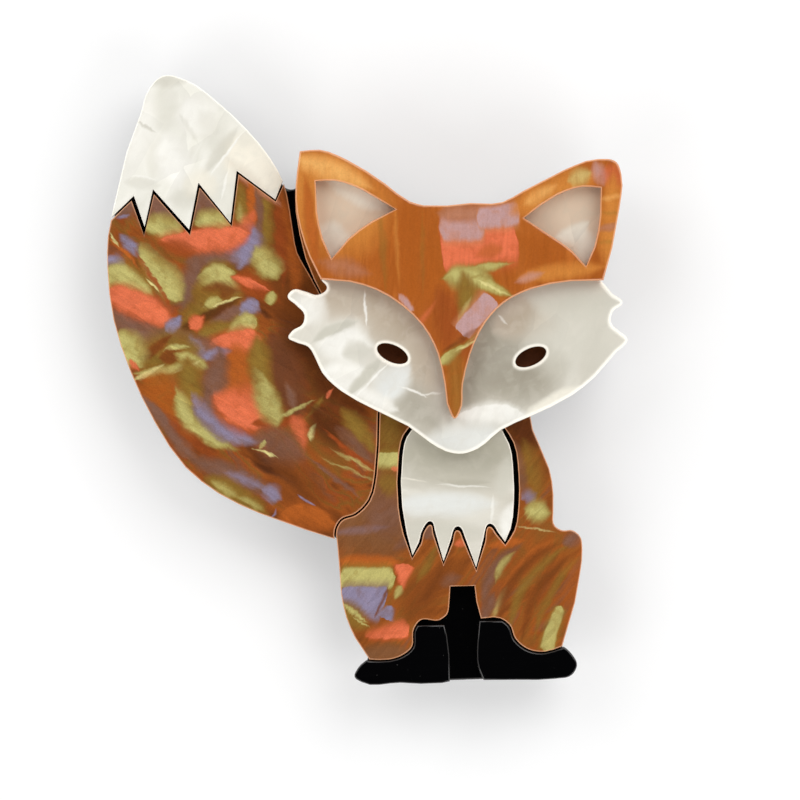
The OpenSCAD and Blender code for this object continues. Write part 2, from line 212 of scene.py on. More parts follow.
camera = bpy.data.objects.new("camera", bpy.data.cameras.new("camera"))
camera.data.sensor_width = SENSOR
camera.data.lens = SENSOR * CAMERA_DISTANCE / VIEW_ACROSS
camera.location = (*VIEW_MIDDLE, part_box("tail")[1].z + CAMERA_DISTANCE)
bpy.context.scene.collection.objects.link(camera)
bpy.context.scene.camera = camera
print("lens in mm:", round(camera.data.lens))

# %% [markdown]
# ## The table and the light
#
# Flat glossy plates are mirrors for whatever hangs straight above them. A lamp there would lay a grey
# veil over the black acetate, so the lamps stand low around the brooch, as beside a copy stand: the
# flat faces keep their colour, and only the rounded rims catch the lamps as thin bright lines. The
# strongest lamp is at the upper right, where the short shadows beside the head say that it was. The
# table is a white card that glows a little, which keeps the shadows pale as in the photograph.

# %% White table
TABLE_SIDE = 900 * MM
CARD_TONE = (0.66, 0.66, 0.66, 1)
CARD_GLOW = 0.33

skin = bmesh.new()
bmesh.ops.create_grid(skin, x_segments=1, y_segments=1, size=TABLE_SIDE / 2)
table_mesh = bpy.data.meshes.new("table_top")
skin.to_mesh(table_mesh)
skin.free()
table_top = bpy.data.objects.new("table_top", table_mesh)
bpy.context.scene.collection.objects.link(table_top)

card, tree, shader = new_material("white_card")
fill(
    tree, shader, Base_Color=CARD_TONE, Emission_Color=(1, 1, 1, 1), Emission_Strength=CARD_GLOW,
    Roughness=0.9, Specular_IOR_Level=0.1,
)
table_mesh.materials.append(card)
print("table side in mm:", TABLE_SIDE / MM)

# %% Four soft lamps
# The angles are in degrees, the distance and the side in metres.
Lamp = namedtuple("Lamp", "name azimuth elevation distance side watts")
LAMPS = [
    Lamp("lamp_upper_right", 50, 52, 0.60, 0.40, 1.5),
    Lamp("lamp_upper_left", 140, 42, 0.60, 0.40, 0.9),
    Lamp("lamp_lower_left", 225, 40, 0.65, 0.40, 1.0),
    Lamp("lamp_lower_right", 315, 40, 0.65, 0.40, 1.0),
]
for lamp in LAMPS:
    light = bpy.data.lights.new(lamp.name, "AREA")
    light.size = lamp.side
    light.energy = lamp.watts
    stand = bpy.data.objects.new(lamp.name, light)
    turn, rise = math.radians(lamp.azimuth), math.radians(lamp.elevation)
    way = Vector((math.cos(turn) * math.cos(rise), math.sin(turn) * math.cos(rise), math.sin(rise)))
    stand.location = way * lamp.distance
    stand.rotation_euler = way.to_track_quat("Z", "Y").to_euler()
    bpy.context.scene.collection.objects.link(stand)

print("lamps:", [lamp.name for lamp in LAMPS])

# %% A room that is dark overhead
WALL_LIGHT = 0.90
CEILING_LIGHT = 0.01
CEILING_EDGE = (0.45, 0.85)

room = bpy.data.worlds.new("room")
room.use_nodes = True
tree = room.node_tree
direction = add_node(tree, "TexCoord").outputs["Generated"]
height = add_node(tree, "SeparateXYZ", Vector=direction).outputs["Z"]
fading = add_node(
    tree, "MapRange", Value=height, From_Min=CEILING_EDGE[0], From_Max=CEILING_EDGE[1],
    To_Min=WALL_LIGHT, To_Max=CEILING_LIGHT,
)
fading.interpolation_type = "SMOOTHSTEP"
fill(tree, tree.nodes["Background"], Color=(1, 1, 1, 1), Strength=fading.outputs["Result"])
bpy.context.scene.world = room
bpy.context.scene.view_settings.view_transform = "Standard"
print("light of the walls and of the ceiling:", WALL_LIGHT, CEILING_LIGHT)

# %% [markdown]
# ## Polished plates
#
# A sawn sheet leaves the tumbler with its edges rounded, and that rounding is what draws the fox: each
# piece is framed by a thin line of light. A bevel would do it on a simple outline, but these outlines
# have needle-sharp teeth and tight curls, where the bevel's edges would cross. Here the flat face is
# inset again and again by less than a tenth of a millimetre. Before each step, edges too short to
# survive it are collapsed, and afterwards each ring is lowered along a quarter of an ellipse. The
# rim is shaded smooth and the face inside it flat, so that it reflects like a true plane.

# %% A plate's skin with few, large faces
MERGE = 0.001 * MM
FLAT = math.radians(0.5)
FLUSH = 0.0002 * MM
FACING = 0.99


def joined_skin(node):
    """Skin of a CAD piece, with its loose triangles joined into flat faces."""
    bm = bmesh.new()
    bm.from_mesh(frame["nodes"][node].data)
    bmesh.ops.remove_doubles(bm, verts=bm.verts, dist=MERGE)
    bmesh.ops.dissolve_limit(bm, angle_limit=FLAT, verts=bm.verts, edges=bm.edges)
    return bm


def plane_height(bm, way):
    """Height of the plate's front (1) or back (-1)."""
    return way * max(vert.co.z * way for vert in bm.verts)


def plane_faces(bm, way, height):
    """The plate's faces that lie in the plane of its front or its back."""
    return [
        face
        for face in bm.faces
        if face.normal.z * way > FACING and all(abs(vert.co.z - height) < FLUSH for vert in face.verts)
    ]


def plate_skin(node):
    """Skin of a CAD plate with its front's outline carried straight down to its back.

    A CAD wall can have corners half way up, which a lowered rim would fold over.
    """
    bm = joined_skin(node)
    height = plane_height(bm, 1)
    thickness = height - plane_height(bm, -1)
    front = set(plane_faces(bm, 1, height))
    bmesh.ops.delete(bm, geom=[face for face in bm.faces if face not in front], context="FACES")
    grown = bmesh.ops.extrude_face_region(bm, geom=bm.faces[:])["geom"]
    lower = [part for part in grown if isinstance(part, bmesh.types.BMVert)]
    bmesh.ops.translate(bm, verts=lower, vec=(0, 0, -thickness))
    bmesh.ops.recalc_face_normals(bm, faces=bm.faces)
    bm.normal_update()
    return bm


trial = plate_skin("forehead_mask")
print("faces on the mask's front:", len(plane_faces(trial, 1, plane_height(trial, 1))))
trial.free()

# %% Collapse the edges that an inset would turn inside out
SPARE = 0.004 * MM
SHARPEST_TURN = 3.0


def rim_loops(faces):
    """Corners of the faces from which a rim edge starts, with the region on its left."""
    region = set(faces)
    return [
        loop
        for face in faces
        for loop in face.loops
        if sum(other in region for other in loop.edge.link_faces) == 1
    ]


def turn_at(back, ahead, up):
    """Angle by which the rim turns left where one loop's edge ends and the next one's starts."""
    a = (back.link_loop_next.vert.co - back.vert.co).normalized()
    b = (ahead.link_loop_next.vert.co - ahead.vert.co).normalized()
    return math.atan2(a.cross(b).dot(up), a.dot(b))


def doomed_edges(faces, width):
    """Rim edges that are shorter than what an inset of that width takes from them."""
    loops = rim_loops(faces)
    up = faces[0].normal
    ahead = {loop.vert: loop for loop in loops}
    back = {loop.link_loop_next.vert: loop for loop in loops}
    doomed = []
    for loop in loops:
        end = loop.link_loop_next.vert
        turns = (turn_at(back[loop.vert], loop, up), turn_at(loop, ahead[end], up))
        taken = width * sum(math.tan(min(turn, SHARPEST_TURN) / 2) for turn in turns)
        if loop.edge.calc_length() < taken + SPARE:
            doomed.append(loop.edge)
    return doomed


def clear_rim(bm, way, height, width):
    """Collapses doomed edges until none is left, and gives the plane's faces as they are then."""
    faces = plane_faces(bm, way, height)
    doomed = doomed_edges(faces, width)
    while doomed:
        bmesh.ops.collapse(bm, edges=doomed, uvs=False)
        bm.normal_update()
        faces = plane_faces(bm, way, height)
        doomed = doomed_edges(faces, width)
    return faces


trial = plate_skin("body")
front = plane_faces(trial, 1, plane_height(trial, 1))
print("edges of the body that a 0.1 mm inset would fold:", len(doomed_edges(front, 0.1 * MM)))
trial.free()

# %% Round the rim of a plate's face
Rim = namedtuple("Rim", "across down steps")
HOLDING_RING = 0.03 * MM


def round_rim(bm, way, rim):
    """Insets the front (1) or back (-1) in steps, each ring lower on a quarter of an ellipse."""
    height = plane_height(bm, way)
    angles = [math.pi / 2 * step / rim.steps for step in range(rim.steps + 1)]
    strips = [
        (rim.across * (math.cos(now) - math.cos(after)), rim.down * (1 - math.sin(now)))
        for now, after in zip(angles, angles[1:])
    ]
    for width, drop in strips + [(HOLDING_RING, 0)]:
        faces = clear_rim(bm, way, height, width)
        strip = bmesh.ops.inset_region(
            bm, faces=faces, thickness=width, depth=0, use_boundary=True, use_even_offset=True
        )["faces"]
        inside = {vert for face in faces for vert in face.verts}
        for vert in {vert for face in strip for vert in face.verts} - inside:
            vert.co.z -= way * drop
        bm.normal_update()


trial = plate_skin("chest_bib")
round_rim(trial, 1, Rim(0.2 * MM, 0.2 * MM, 5))
print("faces of the bib with a rounded front:", len(trial.faces))
trial.free()

# %% [markdown]
# ## Colours that lie in the sheet, and painted shade and light
#
# Marbled acetate is made by folding pearl pigment into coloured paste. Each fold turns the pigment
# another way, so one sheet shows copper, coral, gold, lavender and mauve side by side, in curved
# flakes with one crisp edge and one that fades. A noise texture alone gives clouds, not flakes. So the
# flakes are laid one by one, each as one row of a table, and a shared node group turns a row into a
# mask:
# a bar that can be bent, tapered, pointed at its ends and softened along either side.

# %% Node group: the mask of one flake
ORIGIN = (0, 0, 0)
# The halo starts outside the lens and is full inside it, by these shares of the half width.
HALO_EDGE = (-0.9, 0.4)
# A taper leaves this share of the width at least.
NARROWEST = 0.05


def flake_group():
    """Masks of a lens that bends, tapers and has one softness above and another below.

    Along and Across point along the lens and over it, each as long as one over that half size.
    A Bluntness of 2 gives pointed ends, and 30 square ones. Halo is the wider glow round it.
    """
    tree, given, out = new_group(
        "flake", (), ("Core", "Halo"), Place=ORIGIN, Middle=ORIGIN, Along=(1, 0, 0),
        Across=(0, 1, 0), Bend=0.0, Taper=0.0, Bluntness=2.0, Upper_Sharpness=2.0,
        Lower_Sharpness=2.0, Strength=1.0, Thickness=1.0,
    )
    away = vectors(tree, "SUBTRACT", given["Place"], given["Middle"])
    along = vectors(tree, "DOT_PRODUCT", away, given["Along"])
    across = vectors(tree, "DOT_PRODUCT", away, given["Across"])
    across = maths(tree, "MULTIPLY_ADD", maths(tree, "MULTIPLY", along, along), given["Bend"], across)
    closing = maths(tree, "POWER", maths(tree, "ABSOLUTE", along), given["Bluntness"])
    width = maths(tree, "MAXIMUM", maths(tree, "MULTIPLY_ADD", along, given["Taper"], 1.0), NARROWEST)
    width = maths(tree, "MULTIPLY", width, maths(tree, "SUBTRACT", 1.0, closing))
    below_top = maths(tree, "SUBTRACT", width, across)
    above_foot = maths(tree, "ADD", width, across)
    upper = maths(tree, "MULTIPLY_ADD", below_top, given["Upper Sharpness"], 0.5)
    lower = maths(tree, "MULTIPLY_ADD", above_foot, given["Lower Sharpness"], 0.5)
    core = ramp(tree, maths(tree, "MINIMUM", upper, lower), 0.0, 1.0)
    halo = ramp(tree, maths(tree, "MINIMUM", below_top, above_foot), *HALO_EDGE)
    strength = maths(tree, "MULTIPLY", given["Strength"], given["Thickness"])
    core = maths(tree, "MULTIPLY", core, strength)
    halo = maths(tree, "MULTIPLY", halo, given["Strength"])
    fill(tree, out, Core=core, Halo=halo)
    return tree


FLAKE_GROUP = flake_group()
print("nodes in the flake group:", len(FLAKE_GROUP.nodes))

# %% [markdown]
# ## Effects that all sheets share
#
# Three more groups serve every sheet. One turns the place on the piece into millimetres and stirs it a
# little, so that no flake has a ruled edge. One is the grain of the pearl: fine sparkle, streaks along
# the way that the paste was drawn out, and facets, each with its own gradient, where the paste was
# creased. One finds the rounded rim from the tilt of the surface, where a highlight is painted on: a
# paler colour and a faint glow.

# %% Node group: stirred place in millimetres
STIRS = (("Fine Stir", 1.8), ("Broad Stir", 0.42))
MIDDLE_GREY = (0.5, 0.5, 0.5)


def stirred_group():
    """Place on the piece in millimetres, plain and stirred by two sizes of noise."""
    tree, given, out = new_group(
        "stirred_place", ("Plain", "Stirred"), (), Fine_Stir=(0.25, 0.25, 0),
        Broad_Stir=(0.5, 0.5, 0),
    )
    place = add_node(tree, "TexCoord").outputs["Object"]
    plain = vectors(tree, "MULTIPLY", place, (1 / MM, 1 / MM, 1 / MM))
    stirred = plain
    for amount, scale in STIRS:
        push = vectors(tree, "SUBTRACT", noise(tree, plain, scale, output="Color"), MIDDLE_GREY)
        stirred = vectors(tree, "MULTIPLY_ADD", push, given[amount], stirred)
    fill(tree, out, Plain=plain, Stirred=stirred)
    return tree


STIRRED_GROUP = stirred_group()
print("nodes in the stirring group:", len(STIRRED_GROUP.nodes))

# %% Node group: grain of the pearl
FACETS_PER_FOLD = 1.3
# The streaks drag the flakes' edges by up to half of this, in millimetres.
RAGGED = 0.35
# Each noise has a scale and a detail, and some have a distortion.
FOLDING = (1.0, 2.0, 0.8)
STREAKING = (1.0, 3.0, 0.6)
SPARKLING = (7.0, 2.0)
COVERING = (0.8, 3.0, 0.5)


def drawn_place(tree, place, turn, size):
    """Place measured along and over the grain, in units of a size."""
    step = add_node(tree, "Mapping", Vector=place, Rotation=turn, Scale=size)
    step.vector_type = "TEXTURE"
    return step.outputs[0]


def grain_group():
    """Folds, streaks, facets, fine sparkle and the paste's cover, all around 0.5.

    Its Place is where the flakes are looked up: the streaks drag their edges along a little.
    """
    tree, given, out = new_group(
        "pearl_grain", ("Place",), ("Folds", "Streaks", "Facets", "Sparkle", "Cover"),
        Plain=ORIGIN, Stirred=ORIGIN, Turn=ORIGIN, Fold_Size=(6, 2.5, 1), Streak_Size=(2, 0.3, 1),
    )
    creased = drawn_place(tree, given["Stirred"], given["Turn"], given["Fold Size"])
    folds = noise(tree, creased, *FOLDING)
    drawn = drawn_place(tree, given["Plain"], given["Turn"], given["Streak Size"])
    streaks = noise(tree, drawn, *STREAKING)
    dragged = maths(tree, "MULTIPLY_ADD", streaks, RAGGED, -RAGGED / 2)
    shift = add_node(tree, "CombineXYZ", X=dragged, Y=dragged).outputs[0]
    ragged = vectors(tree, "ADD", given["Stirred"], shift)
    cells = add_node(tree, "TexVoronoi", Vector=creased, Scale=FACETS_PER_FOLD)
    cells.voronoi_dimensions = "2D"
    lean = vectors(tree, "SUBTRACT", cells.outputs["Color"], MIDDLE_GREY)
    lean = vectors(tree, "MULTIPLY", lean, (1, 1, 0))
    inside = vectors(tree, "SUBTRACT", creased, cells.outputs["Position"])
    slope = vectors(tree, "DOT_PRODUCT", inside, lean)
    facets = maths(tree, "MULTIPLY_ADD", slope, FACETS_PER_FOLD, 0.5)
    sparkle = noise(tree, given["Plain"], *SPARKLING)
    cover = noise(tree, given["Stirred"], *COVERING)
    fill(
        tree, out, Place=ragged, Folds=folds, Streaks=streaks, Facets=facets, Sparkle=sparkle,
        Cover=cover,
    )
    return tree


GRAIN_GROUP = grain_group()
print("nodes in the grain group:", len(GRAIN_GROUP.nodes))

# %% Node group: the rounded rim, where a highlight is painted
# A flat face's normal points up by 1 and a wall's by 0. The rim starts at the first value. Its share
# grows by the second as the normal sinks, and shrinks to nothing at a wall by the third.
NEARLY_LEVEL = 0.985
RIM_RISE = 6.0
WALL_RISE = 4.0


def rim_highlight_group():
    """Share of the rounded rim: 0 on flat faces and walls, 1 where the rim tilts half way."""
    tree, given, out = new_group("painted_rim_highlight", (), ("Share",), Start=NEARLY_LEVEL)
    facing = add_node(tree, "SeparateXYZ")
    feed(tree, add_node(tree, "NewGeometry").outputs["Normal"], facing.inputs[0])
    lift = maths(tree, "ABSOLUTE", facing.outputs["Z"])
    tilted = maths(tree, "SUBTRACT", given["Start"], lift)
    rising = maths(tree, "MULTIPLY", tilted, RIM_RISE, clamp=True)
    falling = maths(tree, "MULTIPLY", lift, WALL_RISE, clamp=True)
    fill(tree, out, Share=maths(tree, "MULTIPLY", rising, falling))
    return tree


RIM_HIGHLIGHT_GROUP = rim_highlight_group()
print("shared groups:", sorted(group.name for group in bpy.data.node_groups))

# %% [markdown]
# ## One builder for every marbled sheet
#
# A sheet is a cloudy scale of colours, its flakes and its grain, under a clear polished skin.
# The skin is the shader's coat: it stays smooth and sharp while the pearl below it is slightly
# uneven, which gives the depth of a folded sheet under a flat surface. The rims get a painted
# highlight: they are painted paler and made to glow a little.

# %% Palette of the sheets
Pearl = namedtuple("Pearl", "core halo")


def pearl(core, halo):
    """Screen colours of a flake and of the glow round it."""
    return Pearl(srgb(*core), srgb(*halo))


# Some colours also carry painted light. The deep brown and the shade grey are painted shade where the
# tables lay them beside the head, below the chin and in the eye holes, the dusk grey and the fawn are
# painted shade on the face beside the mask, and the beige is painted orange light in the ears.
COPPER = pearl((166, 86, 26), (170, 90, 30))
BROWN = pearl((114, 60, 22), (126, 66, 24))
DEEP_BROWN_AND_SHADE = pearl((78, 38, 14), (98, 50, 18))
RUST = pearl((152, 70, 28), (140, 68, 26))
ORANGE = pearl((184, 96, 36), (164, 84, 30))
AMBER = pearl((206, 132, 58), (192, 114, 46))
BRIGHT = pearl((232, 172, 98), (210, 134, 60))
OLIVE = pearl((138, 108, 44), (128, 84, 30))
GOLD = pearl((188, 178, 108), (140, 110, 42))
PALE = pearl((220, 208, 138), (164, 134, 60))
CORAL = pearl((224, 114, 76), (182, 84, 42))
ROSE = pearl((184, 126, 98), (162, 96, 56))
LAVENDER = pearl((138, 128, 152), (128, 96, 86))
LILAC = pearl((188, 150, 148), (190, 124, 84))
MAUVE = pearl((124, 88, 72), (122, 74, 44))
FLANK = pearl((128, 84, 52), (124, 74, 36))
PLUM = pearl((106, 62, 38), (106, 58, 30))
WHITE = pearl((246, 244, 236), (232, 229, 219))
CREAM = pearl((244, 238, 222), (230, 226, 212))
MILK = pearl((228, 229, 224), (222, 220, 211))
GREY = pearl((204, 201, 187), (212, 208, 195))
SHADE_AND_GREY_CREASE = pearl((180, 175, 158), (196, 191, 176))
PAINTED_SHADE_GREY = pearl((160, 153, 137), (190, 184, 169))
FAWN_AND_SHADE = pearl((186, 172, 152), (208, 198, 182))
BOUNCED_ORANGE_BEIGE = pearl((222, 202, 178), (214, 200, 178))
print("linear values of the coral:", [round(tone, 3) for tone in CORAL.core])

# %% Table columns of a flake and of a sheet
# x and y are its middle, long and wide its full size, all in millimetres. turn is in degrees.
# blunt goes from 2 for pointed ends to 30 for square ones. upper and lower say how soft these edges
# are, from 0.1 for crisp to 1 and more for faded. bend sends its ends down, as a share of half its
# width, and taper narrows its right end. A row can leave these last two out.
Flake = namedtuple(
    "Flake", "x y long wide turn blunt upper lower colour share bend taper", defaults=(0, 0)
)
# An edge fades over this many half widths of its flake, times its softness.
FADE = 2.2
# A sheet's folds are its colour scale. fold_size and streak_size are in millimetres along and over the
# grain, the stirs in millimetres and grain_turn in degrees. streaks, facets and sparkle say how much
# they change the tone.
Sheet = namedtuple(
    "Sheet",
    "folds fold_size streak_size grain_turn streaks facets sparkle fine_stir broad_stir flakes rim"
    " rim_share bump",
)


def flakes(*rows):
    """Flakes from the rows of a table."""
    return [Flake(*row) for row in rows]


def level(reach):
    """Vector of that length along both X and Y."""
    return (reach, reach, 0)


def sharpness(softness):
    """Slope of a flake's edge of that softness."""
    return 1 / (FADE * softness)


def add_flake(tree, place, thickness, flake):
    """Masks of one flake."""
    turn = math.radians(flake.turn)
    along = Vector((math.cos(turn), math.sin(turn), 0))
    across = Vector((-math.sin(turn), math.cos(turn), 0))
    return group_node(
        tree, FLAKE_GROUP, Place=place, Middle=(flake.x, flake.y, 0),
        Along=along / (flake.long / 2), Across=across / (flake.wide / 2), Bend=flake.bend,
        Taper=-flake.taper, Bluntness=flake.blunt, Upper_Sharpness=sharpness(flake.upper),
        Lower_Sharpness=sharpness(flake.lower), Strength=flake.share, Thickness=thickness,
    )


print("flake columns:", Flake._fields)

# %% Builder of a sheet's material
THIN_SPOTS = (0.30, 0.55)
THINNEST = 0.6
SATIN = 0.4
# Strength of the glow painted on the rims as a highlight.
RIM_HIGHLIGHT_GLOW = 0.15
BUMP_HEIGHT = 1.0 * MM
# A flake that is no wider than this, in millimetres, has no glow round it.
HAIRLINE = 0.5


def toned(tree, colour, value, depth):
    """Darkens and lightens a colour by a value around 0.5."""
    tone = maths(tree, "MULTIPLY_ADD", maths(tree, "SUBTRACT", value, 0.5), depth, 1.0)
    grey = add_node(tree, "CombineColor", Red=tone, Green=tone, Blue=tone).outputs[0]
    return blend(tree, 1.0, colour, grey, "MULTIPLY")


def sheet_material(name, sheet):
    """Marbled acetate: folds, flakes and grain under a clear polished skin."""
    material, tree, shader = new_material(name)
    place = group_node(
        tree, STIRRED_GROUP, Fine_Stir=level(sheet.fine_stir), Broad_Stir=level(sheet.broad_stir)
    )
    grain = group_node(
        tree, GRAIN_GROUP, Plain=place["Plain"], Stirred=place["Stirred"],
        Turn=(0, 0, math.radians(sheet.grain_turn)), Fold_Size=(*sheet.fold_size, 1),
        Streak_Size=(*sheet.streak_size, 1),
    )
    colour = coloured(tree, grain["Folds"], sheet.folds)
    thick = ramp(tree, grain["Cover"], *THIN_SPOTS)
    thick = maths(tree, "MULTIPLY_ADD", thick, 1 - THINNEST, THINNEST)
    satin = maths(tree, "MULTIPLY_ADD", grain["Streaks"], SATIN, 1 - SATIN / 2)
    thick = maths(tree, "MULTIPLY", thick, satin)
    for flake in sheet.flakes:
        masks = add_flake(tree, grain["Place"], thick, flake)
        if flake.wide > HAIRLINE:
            colour = blend(tree, masks["Halo"], colour, flake.colour.halo)
        colour = blend(tree, masks["Core"], colour, flake.colour.core)
    colour = toned(tree, colour, grain["Streaks"], sheet.streaks)
    if sheet.facets:
        colour = toned(tree, colour, grain["Facets"], sheet.facets)
    colour = toned(tree, colour, grain["Sparkle"], sheet.sparkle)
    # Painted highlight: the rim is painted paler and made to glow.
    edge = group_node(tree, RIM_HIGHLIGHT_GROUP)["Share"]
    colour = blend(tree, maths(tree, "MULTIPLY", edge, sheet.rim_share), colour, sheet.rim)
    glow = blend(tree, edge, (0, 0, 0, 1), sheet.rim)
    uneven = add_node(
        tree, "Bump", Height=grain["Folds"], Strength=sheet.bump, Distance=BUMP_HEIGHT
    )
    fill(
        tree, shader, Base_Color=colour, Emission_Color=glow, Emission_Strength=RIM_HIGHLIGHT_GLOW,
        Normal=uneven.outputs["Normal"], Roughness=0.42, Specular_IOR_Level=0.1, Coat_Weight=0.8,
        Coat_Roughness=0.08,
    )
    return material


print("sheet columns:", Sheet._fields)

# %% [markdown]
# ## The copper sheets
#
# The tail shows the marbling best: a coral band under the white teeth, gold flakes on the left, a nest
# of crescents round a coral core in the middle and long drawn-out bands at the foot. The rows below
# run roughly from top to bottom, and each later row lies over the earlier ones.

